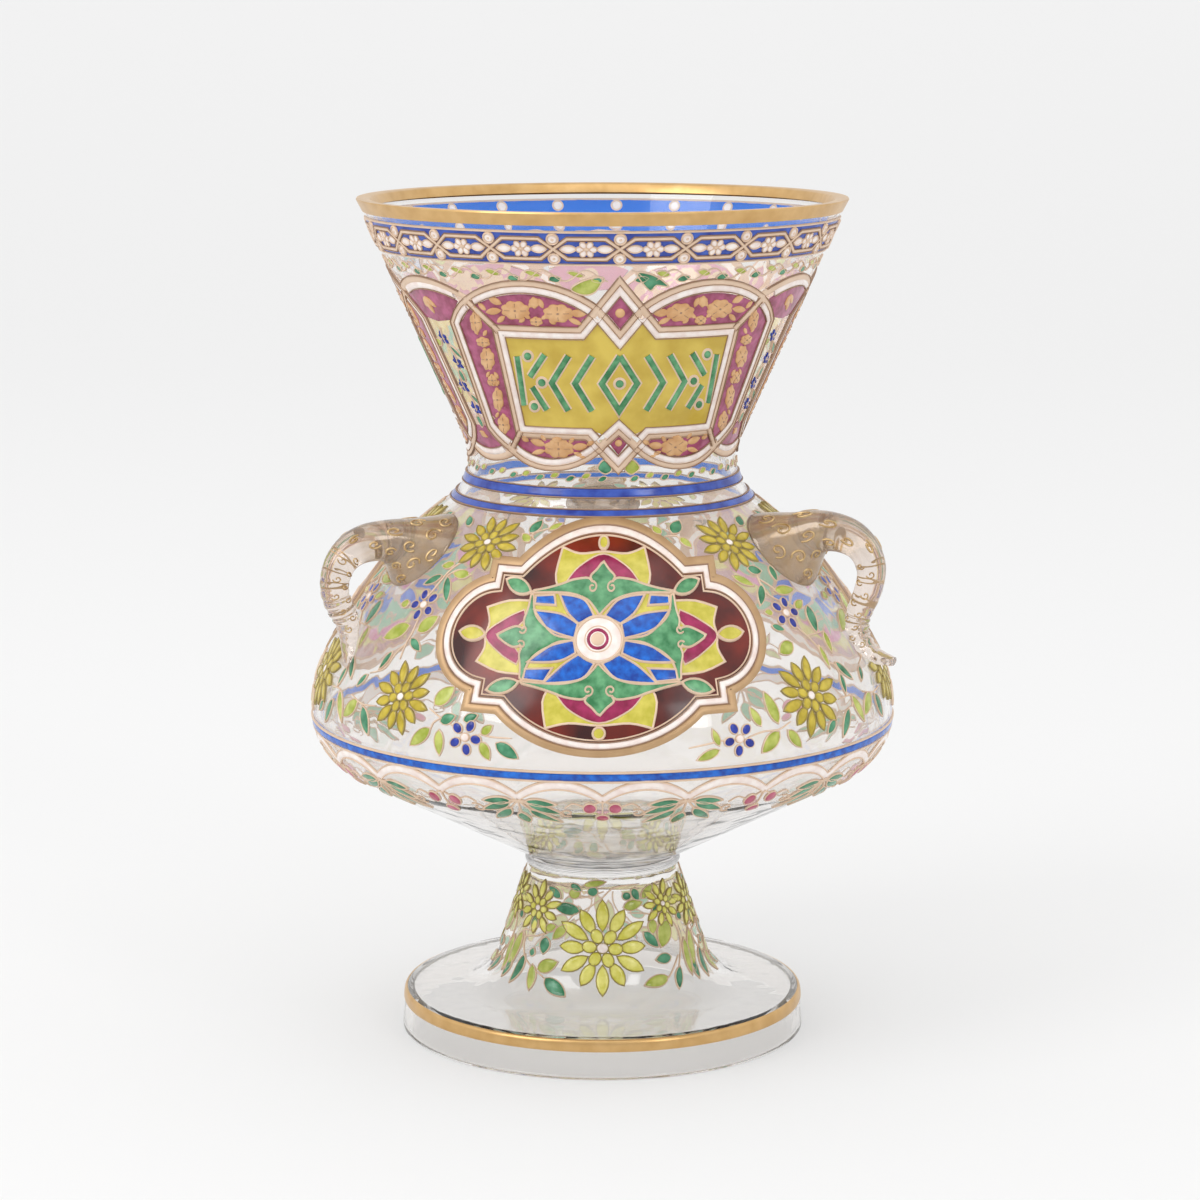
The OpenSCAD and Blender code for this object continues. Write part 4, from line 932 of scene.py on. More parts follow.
# %% [markdown]
# ## Cartouches on the neck
# Two straps interlace: one runs round a yellow panel and ends above and below in a point, the
# other runs round the whole cartouche and dips into those points. Each strap is a gold band
# with a white band on its inner side and thin brown lines. Points of the drawing are given as
# an angle and a height on the neck.

# %% Drawing of the straps
def unrolled(points):
    """(degrees, height) on the neck as flat millimetres: x is the angle times the radius."""
    p = np.asarray(points, float)
    return np.stack([np.radians(p[:, 0]) * radius_at(BODY, p[:, 1]), p[:, 1]], 1)


panel_half = unrolled([(0, 220), (11, 206.9), (36, 206.9), (38.6, 178.2), (11.3, 178.2), (0, 169)])
cross_top, cross_low = unrolled([(6.3, 212.7), (6.2, 175.8)])
high_cross, high_corner, low_corner, low_cross = unrolled(
    [(43.4, 214.6), (51.7, 208.3), (53.2, 178.8), (45, 173.2)])
frame_half = np.concatenate([
    unrolled([(0, 205)]), arc(cross_top, high_cross, 5.9, 14), arc(high_cross, high_corner, 0.6, 4)[1:],
    arc(low_corner, low_cross, 0.4, 4)[:-1], arc(low_cross, cross_low, 5.6, 14), unrolled([(0, 180.1)])])
PANEL, FRAME = both(panel_half), both(frame_half)
top_link = unrolled(arc((43.4, 214.6), (76.6, 214.6), 4.2, 14))
low_link = unrolled(arc((75, 173.2), (45, 173.2), 3.0, 14))
print("strap round the panel", len(PANEL), "points, round the frame", len(FRAME))

# %% [markdown]
# Where straps cross, the gold runs through and the white and the brown lines stop, so each
# closed path is cut into open ones that keep clear of the crossings.

# %% Straps
def woven(path, crossings, gap, step=0.6):
    """Closed path as open pieces that leave out what is nearer than gap to a crossing."""
    path = divided(path, step, True)
    far = np.hypot(*(path[:, None] - np.asarray(crossings)[None]).T).min(0) > gap
    path, far = np.roll(path, -np.argmin(far), 0), np.roll(far, -np.argmin(far))
    ends = np.flatnonzero(np.diff(np.concatenate([[False], far, [False]]).astype(int)))
    return [path[a:b] for a, b in ends.reshape(-1, 2) if b - a > 2]


GOLD_OFF, GOLD_WIDE, WHITE_OFF, WHITE_WIDE = 0.75, 2.1, -0.7, 2.0
BROWN_OUT, BROWN_MID, BROWN_IN, BROWN_WIDE = 1.75, 0.3, -1.72, 0.24
WHITE_TOP, BROWN_TOP = 0.6, 0.66
knots = [p * [s, 1] for p in (cross_top, cross_low) for s in (1, -1)]
joints = [p * [s, 1] for p in (high_cross, low_cross) for s in (1, -1)]
straps = Brush(NECK)
for outline, crossings in ((PANEL, knots), (FRAME, knots + joints)):
    straps.add("gold_line", stroke(grown(outline, GOLD_OFF), GOLD_WIDE, 0.5, closed=True))
    for part in woven(grown(outline, WHITE_OFF), crossings, 1.7):
        straps.add("white", stroke(part, WHITE_WIDE, WHITE_TOP))
    for d in (BROWN_OUT, BROWN_MID, BROWN_IN):
        for part in woven(grown(outline, d), crossings, 1.2):
            straps.add("brown_line", stroke(part, BROWN_WIDE, BROWN_TOP))
for link in (top_link, low_link):
    off = sideways(link)
    straps.add("gold_line", stroke(link + off * GOLD_OFF, GOLD_WIDE, 0.48))
    straps.add("white", stroke((link + off * WHITE_OFF)[2:-2], WHITE_WIDE, WHITE_TOP))
    straps.add("brown_line", stroke((link + off * BROWN_OUT)[1:-1], BROWN_WIDE, BROWN_TOP),
               stroke((link + off * BROWN_IN)[2:-2], BROWN_WIDE, BROWN_TOP))
for bar in halves([panel_half[2], high_cross]) + halves([panel_half[3], low_cross]):
    straps.add("gold_line", stroke(bar, 1.7, 0.66))
    straps.add("brown_line", *(stroke(bar + sideways(bar) * d, 0.25, 0.72) for d in (0.85, -0.85)))
straps.piece("cartouche_white_bands", "white", "cartouche_white_straps")
straps.piece("cartouche_gold_bands", "gold_line", "cartouche_gilt_straps")
straps.piece("cartouche_brown_lines", "brown_line")

# %% [markdown]
# The yellow panel fills the inner strap up to the other strap's dips. The plum fields lie
# between the straps: above, below and at both sides, with a small diamond in each point.

# %% Yellow panels and plum fields
def matched(path, count=40):
    """Path with a set number of points, evenly spaced along it."""
    path = np.asarray(path, float)
    along = np.concatenate([[0], np.cumsum(np.hypot(*np.diff(path, axis=0).T))])
    t = np.linspace(0, along[-1], count)
    return np.stack([np.interp(t, along, path[:, 0]), np.interp(t, along, path[:, 1])], 1)


top_in, side_high, side_low, low_in = panel_half[1:5]
panel_edge = both(np.concatenate([
    unrolled([(0, 203.2)]), [cross_top - [0, 2.6]],
    panel_half[1:5] * [0.96, 1] + np.array([[0, -1.4], [0, -1.4], [0, 1.4], [0, 1.4]]),
    [cross_low + [0, 2.2]], unrolled([(0, 181.9)])]))
plum_rails = [
    (arc(cross_top + [1.6, -0.6], high_cross - [1.6, 1.2], 4.6, 40),
     matched([top_in * 0.5 + cross_top * 0.5 + [2.2, 0.8], top_in + [0.6, 1.6], side_high + [0.2, 1.6],
              high_cross - [1.6, 1.2]])),
    (arc(cross_low + [1.6, 0.6], low_cross - [1.6, -1.0], -4.4, 40),
     matched([cross_low * 0.5 + low_in * 0.5 + [2.0, -0.6], low_in + [0.5, -1.6], side_low + [-0.3, -1.6],
              low_cross - [1.6, -1.0]])),
    (matched([high_cross + [-0.4, -1.6], high_corner + [-1.7, -0.6], low_corner + [-1.7, 0.4],
              low_cross + [-0.2, 1.6]]),
     matched([high_cross + [-0.8, -1.8], side_high + [1.7, 0.6], side_low + [1.7, -0.4],
              low_cross + [-0.6, 1.4]]))]
diamonds = [[(0, 217.2), (3.6, 212.7), (0, 208.2), (-3.6, 212.7)],
            [(0, 179.0), (2.6, 175.6), (0, 172.0), (-2.6, 175.6)]]
between = [[(47.5, 214.4), (52.5, 216.6), (60, 217.2), (67.5, 216.6), (72.5, 214.4), (66.5, 208.8),
            (60, 208.0), (53.5, 208.8)],
           [(48.5, 173.6), (54, 171.9), (60, 171.5), (66, 171.9), (71.5, 173.6), (65.8, 178.0),
            (60, 178.6), (54.2, 178.0)]]
PLUM = 0.25, 0.35
panels = Brush(NECK)
panels.add("yellow", pad(divided(panel_edge, 1.0, True), 0.3, 0.4, 16, (0, 192.5)))
for rail, other in plum_rails:
    panels.add("plum", *(field(a, b, *PLUM) for a, b in zip(halves(rail), halves(other))))
panels.add("plum", *(pad(divided(diamond, 0.8, True), *PLUM) for diamond in diamonds),
           *(pad(divided(unrolled(points), 1.0, True), *PLUM) for points in between))
panels.piece("cartouche_yellow", "yellow", "cartouche_yellow_panels")
panels.piece("cartouche_plum", "plum", "cartouche_plum_fields")

# %% [markdown]
# ## Blossoms in the plum fields
# Tan-gold blossoms with dark hearts, buds and leaves fill the plum. A blossom is one pad with
# a lobed outline; its heart and the cuts between its petals are drawn in brown.

# %% Tan blossoms
# Blossoms: place (degrees, height), size and tallness; leaves: place, direction, length, width
BLOSSOMS = [((16.8, 212.5), 4.2, 0.64), ((28.8, 213.0), 4.4, 0.62), ((22.9, 215.3), 1.5, 1.1),
            ((23.3, 210.1), 1.9, 0.72), ((23.8, 173.8), 4.4, 0.66), ((23.8, 176.2), 1.6, 0.7),
            ((43.0, 209.0), 2.2, 1.45), ((42.8, 203.4), 2.5, 0.62), ((43.3, 198.6), 2.6, 1.3),
            ((44.0, 192.6), 1.8, 1.0), ((44.6, 187.0), 2.0, 1.8), ((45.8, 179.8), 2.3, 1.25)]
ARCH_LEAVES = [((13.6, 212.8), 185, 4.6, 2.2), ((14.2, 211.2), 205, 4.2, 1.5), ((20.6, 213.8), 65, 3.0, 1.5),
               ((21.8, 210.8), 150, 2.2, 1.2), ((24.8, 210.8), 30, 2.4, 1.2), ((24.6, 213.8), 115, 2.6, 1.3),
               ((32.4, 214.6), 20, 4.4, 2.0), ((33.0, 212.8), -8, 5.2, 2.0), ((32.4, 211.2), -35, 3.2, 1.6),
               ((38.0, 212.6), 35, 3.2, 1.5), ((26.4, 210.8), -30, 2.2, 1.2), ((19.6, 210.6), -150, 2.2, 1.2)]
LOW_LEAVES = [((18.4, 174.2), 172, 4.4, 2.2), ((18.0, 172.8), 205, 4.0, 1.5), ((29.2, 174.6), 15, 4.8, 2.2),
              ((29.6, 173.0), -15, 4.4, 1.6), ((36.2, 175.4), 25, 2.6, 1.6), ((19.4, 175.4), 130, 2.4, 1.3),
              ((28.6, 175.8), 50, 2.4, 1.3), ((12.4, 175.0), 150, 2.4, 1.5)]
SIDE_LEAVES = [((42.0, 205.2), 130, 2.2, 1.3), ((43.8, 205.4), 55, 2.2, 1.3), ((42.4, 195.0), -130, 2.4, 1.3),
               ((44.2, 195.0), -55, 2.2, 1.2), ((45.4, 190.8), 50, 2.2, 1.2), ((43.6, 190.8), 125, 2.2, 1.2),
               ((46.2, 183.2), -50, 2.2, 1.2), ((44.8, 183.0), -130, 2.2, 1.2), ((42.2, 212.0), 95, 1.8, 1.4)]
LINK_LEAVES = [((57.0, 212.0), 40, 4.2, 2.2), ((62.5, 212.2), 140, 4.2, 2.2), ((60, 210.2), 90, 4.0, 2.4),
               ((58.0, 175.2), 30, 3.0, 1.8), ((62.0, 175.2), 150, 3.0, 1.8)]
LARGE_BLOSSOM, HEARTED = 2.5, 1.65
tan = Brush(NECK)
for flip in (1, -1):
    for at, size, tall in BLOSSOMS:
        middle = unrolled([at])[0] * [flip, 1]
        outline = lobed(middle, size, 8 if size > LARGE_BLOSSOM else 6, 20 * flip, tall)
        tan.add("tan", pad(outline, 0.45, 0.7, 5, middle))
        if size > HEARTED:
            tan.add("brown_line", pad(ellipse(middle, 0.42, 0.32, count=8), 0.65, 0.85, 3))
            for a in 20 * flip + 22.5 + 90 * np.arange(4):
                cut = middle + size * np.outer([0.35, 0.72], way(a) * [1, tall])
                tan.add("brown_line", stroke(cut, 0.26, 0.8))
for at, turn, length, width in ARCH_LEAVES + LOW_LEAVES + SIDE_LEAVES:
    leaf = sprig(unrolled([at])[0], turn, length, width)
    tan.add("tan", *(pad(half, 0.42, 0.6, 4) for half in halves(leaf)))
for z, size in ((212.7, 1.3), (175.6, 1.0)):
    tan.add("tan", pad(ellipse((0, z), size, size), 0.45, 0.7, 4))
for at, turn, length, width in LINK_LEAVES:
    tan.add("tan", pad(sprig(unrolled([at])[0], turn, length, width), 0.42, 0.65, 4))
tan.piece("cartouche_tan_flowers", "tan", "cartouche_tan_blossoms")
tan.piece("cartouche_brown_hearts", "brown_line")

# %% [markdown]
# ## Plain ornament on the yellow panel
# Green strokes edged with a thin gold line: a lozenge in the middle, chevrons and bars beside
# it, and dots. They are the same left and right.

# %% Green bars
HIGH, LEVEL, LOW = 200.6, 192.8, 185.0
bars = [[(0, HIGH), (4.8, LEVEL), (0, LOW), (-4.8, LEVEL), (0, HIGH)]]
for half in ([(7.4, HIGH), (12.0, LEVEL), (7.4, LOW)], [(13.8, HIGH), (18.4, LEVEL), (13.8, LOW)],
             [(20.4, 200.8), (24.6, 194.4)], [(19.8, LOW), (24.0, 191.4)], [(28.4, 200.0), (26.6, 186.0)]):
    bars += halves(half)
dots = [(0, LEVEL), *np.concatenate(halves([(21.2, LEVEL), (25.2, 200.2), (23.4, 185.8)]))]
ornament = Brush(NECK)
for bar in bars:
    ornament.add("green", stroke(bar, 2.0, 0.78))
    ornament.add("gold_line", stroke(bar, 3.2, 0.56))
for dot in dots:
    ornament.add("green", pad(ellipse(dot, 1.1, 1.1, count=14), 0.55, 0.8, 4))
    ornament.add("gold_line", pad(ellipse(dot, 1.8, 1.8, count=14), 0.42, 0.56, 4))
ornament.piece("cartouche_green_ornament", "green", "cartouche_green_bars")
ornament.piece("cartouche_gold_edges", "gold_line")

# %% [markdown]
# ## Leaf rows and sprays on the neck
# Small leaves, green and yellow-green by turns, run above and below the cartouches along a thin
# gold scroll, and larger ones flank the points. Upright sprays of blue flowers fill the gaps
# between one cartouche and the next.

# %% Leaf rows and sprays
GREEN, LIME = "leaf_green", "leaf_lime"
SMALL_LEAF = {"heights": (0.15, 0.35), "drawn": (0.3, 0.42), "step": 0.8}
# Leaves of a row, its height and wave, then a leaf's half length, its tilt that changes sides
# and its steady tilt, its width and the points of a side
LEAF_ROWS = [(22, 222.6, 0.7, 1.9, -0.35, 0, 1.7, 7), (18, 165.6, 0.4, 1.2, 0, 0.5, 1.5, 6)]
FLANKING = [(LIME, [(-12.5, 219.2), (-9, 221.6), (-4.4, 222.4), (-6.2, 218.6), (-9.4, 217.6)]),
            (GREEN, [(4.2, 223.6), (8.4, 223.0), (12.6, 219.8), (9.4, 220.2), (7.6, 218.8)]),
            (GREEN, [(-8.5, 168.2), (-5.6, 170.6), (-2.6, 168.0), (-5.4, 166.6)]),
            (LIME, [(2.6, 168.0), (5.6, 170.6), (9.0, 168.2), (5.4, 166.4)])]
foliage = Brush(NECK)
for count, z, wave, half, changing, steady, width, points in LEAF_ROWS:
    for k in range(1, count):
        sign = (-1) ** k
        at = unrolled([(k * 120 / count, z + wave * sign)])[0]
        reach = np.array([half, changing * sign + steady])
        leaf = almond(at - reach, at + reach, width, points)
        foliage.cell(GREEN if k % 2 else LIME, "gold_line", leaf, **SMALL_LEAF)
t = np.linspace(3, 117, 130)
scroll = unrolled(np.stack([t, 222.8 + 1.5 * np.sin(np.radians(t * 360 / 10.9))], 1))
foliage.add("gold_line", stroke(scroll, 0.35, 0.4, 1.5))
for key, points in FLANKING:
    leaf = smooth(unrolled(points), 20, True)
    foliage.cell(key, "gold_line", leaf, (0.15, 0.4), (0.45, 0.5), 0.8, 5)
for aside, z in ((-1.4, 203.2), (1.2, 196.4), (-1.2, 189.6), (1.0, 183.4)):
    middle = unrolled([(60 + aside, z)])[0]
    for a in range(18, 378, 72):
        foliage.add("flower_blue", pad(petal(middle, a, 0.4, 1.9, 1.2, 6), 0.15, 0.4, 3))
    for a, key in ((200 if aside < 0 else -20, LIME), (-60 if aside < 0 else 240, GREEN)):
        foliage.cell(key, "gold_line", sprig(middle + 2.2 * way(a), a, 4.2, 2.0), **SMALL_LEAF)
t = np.linspace(0, 1, 30)
stem = unrolled(np.stack([60 + 1.4 * np.sin(t * 12), 181 + 25 * t], 1))
foliage.add("gold_line", stroke(stem, 0.4, 0.4))
foliage.piece("neck_green_leaves", GREEN, "neck_leaf_rows")
foliage.piece("neck_lime_leaves", LIME)
foliage.piece("neck_gold_stems", "gold_line")
foliage.piece("neck_blue_flowers", "flower_blue", "neck_blue_sprays")

# %% [markdown]
# ## Medallions
# Each medallion is drawn in halves and quarters, in millimetres from its middle, and narrows a
# little upwards with the wall. Its frame is a white line between a gold band and a thin gold
# line, with lobes above, below and at the sides, round an iron-red ground.

# %% Medallion frame and ground
MIDDLE, NARROWED, LEANT, SHIFTED = 126.4, 0.0058, 0.03, -0.3
HEART_ASIDE, HEART_SPREAD = -1.0, 90


def set_up(points):
    """Design point to its place seen from in front: narrowed upwards, leaning a little, and
    with the heart of the flower drawn a millimetre off the middle."""
    p = np.asarray(points, float)
    aside = HEART_ASIDE * np.exp(-(p ** 2).sum(1) / HEART_SPREAD)
    x = p[:, 0] * (1 - NARROWED * p[:, 1]) + LEANT * p[:, 1] + SHIFTED + aside
    return np.stack([x, p[:, 1] + MIDDLE], 1)


medallion = Brush(FRONT)


def filled(key, outline, heights, middle=None, rings=6):
    """Pad of a design outline, shrunk to a design point or to its own middle."""
    heart = None if middle is None else set_up([middle])[0]
    medallion.add(key, pad(set_up(outline), *heights, rings, heart))


def drawn(key, outline, width, top, step=0.9):
    """Closed line along a design outline."""
    medallion.add(key, stroke(set_up(outline), width, top, step, True))


lobe_top = arc((-24, 16), (24, 16), 10.2, 33)[16:]
lobe_side = arc((30.5, 12), (30.5, -12), 10.8, 33)
OUTLINE = both(np.concatenate([lobe_top, [(30.5, 16)], lobe_side, [(30.5, -16)], lobe_top[::-1] * [1, -1]]))
filled("brown", divided(grown(OUTLINE, -0.9), 1.2, True), (0.3, 0.35), (0, 0), 20)
for key, d, width, top in (("white", 0, 1.7, 0.55), ("gold_frame", 1.9, 2.2, 0.5),
                           ("gold_line", -1.5, 0.5, 0.6), ("brown_line", 0.9, 0.3, 0.65),
                           ("brown_line", -0.95, 0.3, 0.65)):
    drawn(key, grown(OUTLINE, d), width, top, 1.2)
medallion.piece("medallion_red_grounds", "brown", "medallion_grounds")
medallion.piece("medallion_white_lines", "white", "medallion_white_frames")
medallion.piece("medallion_gold_bands", "gold_frame")
medallion.piece("medallion_dark_lines", "brown_line")

# %% [markdown]
# On the ground lie lime palmettes, rose crescents, green fields, blue petals and a white
# centre. Above and below the middle the motifs are tall, beside it they are flat. The painter
# set the petals freely, so each has its own points, mirrored left to right.

# %% Drawing of the medallion
def whole(half, axis):
    """Half a line joined with its mirror image."""
    half, other = halves(half, axis)
    return np.concatenate([other[::-1][:-1], half])


def petal_between(upper, lower, count=12):
    """Outline of a petal from its two sides, each a few points from the ring to the tip,
    grown by half the gold line."""
    return grown(np.concatenate([smooth(upper, count)[:-1], smooth(lower, count)[::-1]]), 0.35)


petals = [petal_between([(2.0, 5.8), (4.4, 8.7), (7.4, 9.8), (11.4, 10.2)],
                        [(5.6, 4.1), (8.9, 6.5), (11.4, 10.2)]),
          petal_between([(6.3, 3.5), (11.2, 5.6), (17.9, 6.2)], [(6.9, 0.5), (12.8, 1.5), (17.9, 6.2)]),
          petal_between([(7.0, -0.7), (12.0, -1.5), (17.9, -5.6)], [(6.4, -3.2), (10.8, -5.1), (17.9, -5.6)]),
          petal_between([(5.3, -4.1), (9.4, -6.7), (13.4, -10.6)], [(1.5, -6.0), (5.0, -9.5), (13.4, -10.6)])]
corners = [[(12.9, 8.0), (13.6, 10.4), (18.8, 10.0), (18.8, 8.1)],
           [(12.2, -7.2), (14.0, -10.5), (19.3, -10.2), (19.1, -7.7)]]
tall_top = smooth([(0.2, 18.4), (1.8, 16.6), (3.5, 15.1), (3.0, 13.8), (4.4, 14.6), (8.6, 14.1), (12.0, 13.0),
                   (16.2, 11.9), (20.4, 11.1)], 28)
tall_low = smooth([(0.2, 6.0), (1.6, 7.6), (4.4, 9.7), (10.4, 11.0), (20.2, 10.7)], 28)
side_out = smooth([(27.8, 0.2), (25.2, 1.7), (23.0, 2.5), (20.9, 2.2), (21.2, 4.2), (20.5, 7.0),
                   (20.2, 10.6)], 24)
side_in = smooth([(6.6, 0.2), (12.4, 1.6), (16.2, 3.5), (18.6, 6.2), (19.5, 10.6)], 24)
quarter = np.concatenate([tall_low, side_in[::-1]])
right = np.concatenate([quarter, quarter[::-1] * [1, -1]])
flower_ground = np.concatenate([right, right[::-1] * [-1, 1]])
tall_palm = np.concatenate([
    smooth([(-12.6, 11.8), (-13.9, 15.4), (-12.6, 21.8)], 7),
    smooth([(-12.6, 21.8), (-7.2, 20.4), (0, 20.9), (7.2, 20.4), (12.6, 21.8)], 17)[1:-1],
    smooth([(12.6, 21.8), (13.9, 15.4), (12.6, 11.8)], 7)])
side_palm = np.concatenate([
    smooth([(19.8, 8.9), (26.2, 8.6), (32.0, 6.6)], 7),
    smooth([(32.0, 6.6), (30.6, 3.2), (31.0, 0), (30.6, -3.2), (32.0, -6.6)], 13)[1:-1],
    smooth([(32.0, -6.6), (26.2, -8.6), (19.8, -8.9)], 7)])
tall_rose = (smooth([(-10.6, 13.6), (-7.0, 17.4), (0, 20.3), (7.0, 17.4), (10.6, 13.6)], 21),
             smooth([(-10.6, 13.4), (-6, 13.6), (0, 14.6), (6, 13.6), (10.6, 13.4)], 21))
side_rose = (smooth([(21.6, 6.6), (26.2, 4.3), (31.0, 0), (26.2, -4.3), (21.6, -6.6)], 21),
             smooth([(20.8, 4.4), (22.6, 2.6), (24.6, 0), (22.6, -2.6), (20.8, -4.4)], 21))
leaf = almond((20.4, 10.9), (28.0, 13.4), 3.5, 9)
leaves = halves(leaf) + halves(leaf * [1, -1])
finials = halves(almond((31.0, 0), (38.0, 0), 3.5, 9)) + halves(ellipse((0, 22.9), 1.4, 1.5, 0, 16), 1)
TALL, SIDE = 1, 0
motifs = ((TALL, tall_palm, tall_rose, (whole(tall_low, 0), whole(tall_top, 0))),
          (SIDE, side_palm, side_rose, (whole(side_in, 1), whole(side_out, 1))))
print("petals", 2 * len(petals), "of", len(petals[0]), "points, ground", len(flower_ground))

# %% [markdown]
# Each colour is laid a little higher than the one under it, and every outline gets its own
# raised gold line. Small gold curls end the green fields.

# %% Medallion motifs
for axis, palm, rose, rails in motifs:
    for outline in halves(palm, axis):
        middle = (0, outline[:, 1].mean()) if axis == TALL else (outline[:, 0].mean(), 0)
        filled("lime", divided(outline, 1.2, True), (0.4, 0.44), middle)
        drawn("gold_line", outline, 0.75, 0.54)
    for a, b in zip(halves(rose[0], axis), halves(rose[1], axis)):
        medallion.add("rose", field(set_up(a), set_up(b), 0.5, 0.56))
        drawn("gold_line", np.concatenate([a, b[::-1]]), 0.6, 0.62)
    for a, b in zip(halves(rails[0], axis), halves(rails[1], axis)):
        medallion.add("green", field(set_up(a), set_up(b), 0.66, 0.74))
        drawn("gold_line", np.concatenate([a[:-1], b[::-1][:-1]]), 0.75, 0.95)
filled("lime", flower_ground, (0.5, 0.56), (0, 0))
for outline in [half for shape in petals + corners for half in halves(shape)]:
    filled("vivid_blue", divided(outline, 0.8, True), (0.66, 0.84))
    drawn("gold_line", outline, 0.75, 0.98)
for key, outlines in (("green", leaves), ("lime", finials)):
    for outline in outlines:
        filled(key, outline, (0.6, 0.76))
        drawn("gold_line", outline, 0.75, 0.95)
t = np.linspace(0, 1, 22)
for x, y, size, a in ((2.8, 12.4, 1.45, 1.2 + 7.6 * t), (21.0, 1.9, 1.1, -0.6 - 6.4 * t)):
    shrink = size * (1 - 0.8 * t)
    curl = np.stack([x + shrink * np.cos(a), y + shrink * np.sin(a)], 1)
    medallion.add("gold_line", *(stroke(set_up(path), 0.65, 1.02, 0.6)
                                 for path in halves(curl) + halves(curl * [1, -1])))
filled("disc", ellipse((0, 0), 6.0, 5.2, count=40), (0.7, 0.9))
drawn("gold_line", ellipse((0, 0), 6.3, 5.5, count=40), 1.1, 1.12)
drawn("rose", ellipse((0, 0), 2.5, 2.2, count=30), 1.4, 1.05, 1.2)
filled("gold_line", ellipse((0, 0), 1.8, 1.6), (0.9, 1.1))
drawn("gold_line", ellipse((0, 0), 3.5, 3.1, count=30), 0.7, 1.0, 1.2)
medallion.piece("medallion_gold_lines", "gold_line", "medallion_gilt_frames")
medallion.piece("medallion_blue", "vivid_blue", "medallion_blue_petals")
medallion.piece("medallion_green", "green", "medallion_green_fields")
medallion.piece("medallion_lime", "lime", "medallion_yellow_palmettes")
medallion.piece("medallion_rose", "rose", "medallion_rose_crescents")
medallion.piece("medallion_white_discs", "white", "medallion_centres", of="disc")

# %% [markdown]
# ## Flowers on shoulder and foot
# A yellow flower has ten or twelve pointed petals, a ring of small round ones and a white
# heart. A blue one has five oval petals. Each petal is a pad of its own inside a fine drawn
# line, and thin gold stems tie flowers and leaves together.

# %% Flower parts
def yellow_flower(brush, size, petals, turn):
    """Slender pointed petals from a third of the radius to its end, every second one shorter,
    six round ones inside them and a white heart."""
    for k in range(petals):
        ahead = size * way(turn + 360 * k / petals)
        outline = almond(0.34 * ahead, (1 - 0.1 * (k % 2)) * ahead, 0.265 * size, 7)
        brush.cell("petals", "olive_line", outline, (0.2, 0.5), (0.32, 0.55))
    for a in turn + 25 + 60 * np.arange(6):
        outline = ellipse(0.27 * size * way(a), 0.15 * size, 0.12 * size, a, 14)
        brush.cell("petals", "olive_line", outline, (0.3, 0.6), (0.34, 0.62), 0.8)
    heart = ellipse((0, 0), 0.12 * size, 0.11 * size, 0, 14)
    brush.cell("white", "olive_line", heart, (0.4, 0.75), (0.34, 0.75), 0.8)


def blue_flower(brush, size, turn):
    """Five oval petals round a white heart, each in a gold ring."""
    for a in turn + 72 * np.arange(5):
        outline = ellipse(0.66 * size * way(a), 0.32 * size, 0.25 * size, a, 14)
        brush.cell("flower_blue", "gold_line", outline, (0.25, 0.55), (0.4, 0.55), 0.8)
    heart = ellipse((0, 0), 0.24 * size, 0.22 * size, 0, 14)
    brush.cell("white", "gold_line", heart, (0.3, 0.6), (0.4, 0.55), 0.8)


def greenery(brush, curve, leaves, stalks):
    """Leaves (degrees, height, direction, length, width, paint), each in a gold line, and thin
    gold stalks through points (degrees, height)."""
    for a, z, turn, length, width, paint in leaves:
        brush.charts = patches(curve, a, z)
        brush.cell(paint, "gold_line", petal((0, 0), turn, 0, length, width), (0.18, 0.45), (0.34, 0.5))
    for points in stalks:
        a, z = np.array(points, float).T
        brush.charts = patches(curve, a[0], z[0])
        flat = np.stack([np.radians(a - a[0]) * radius_at(curve, z),
                         length_at(curve, z[0]) - length_at(curve, z)], 1)
        brush.add("gold_line", stroke(smooth(flat, 6 * len(flat)), 0.5, 0.35, 1.0, taper=0.4))


print("leaves are painted with", GREEN, "and", LIME)

# %% [markdown]
# On the shoulder, a yellow flower stands high and another low on each side of a medallion,
# with blue ones between and below them. Flowers and leaves are placed by angle and height
# beside each medallion, so the same spray comes back on every third.

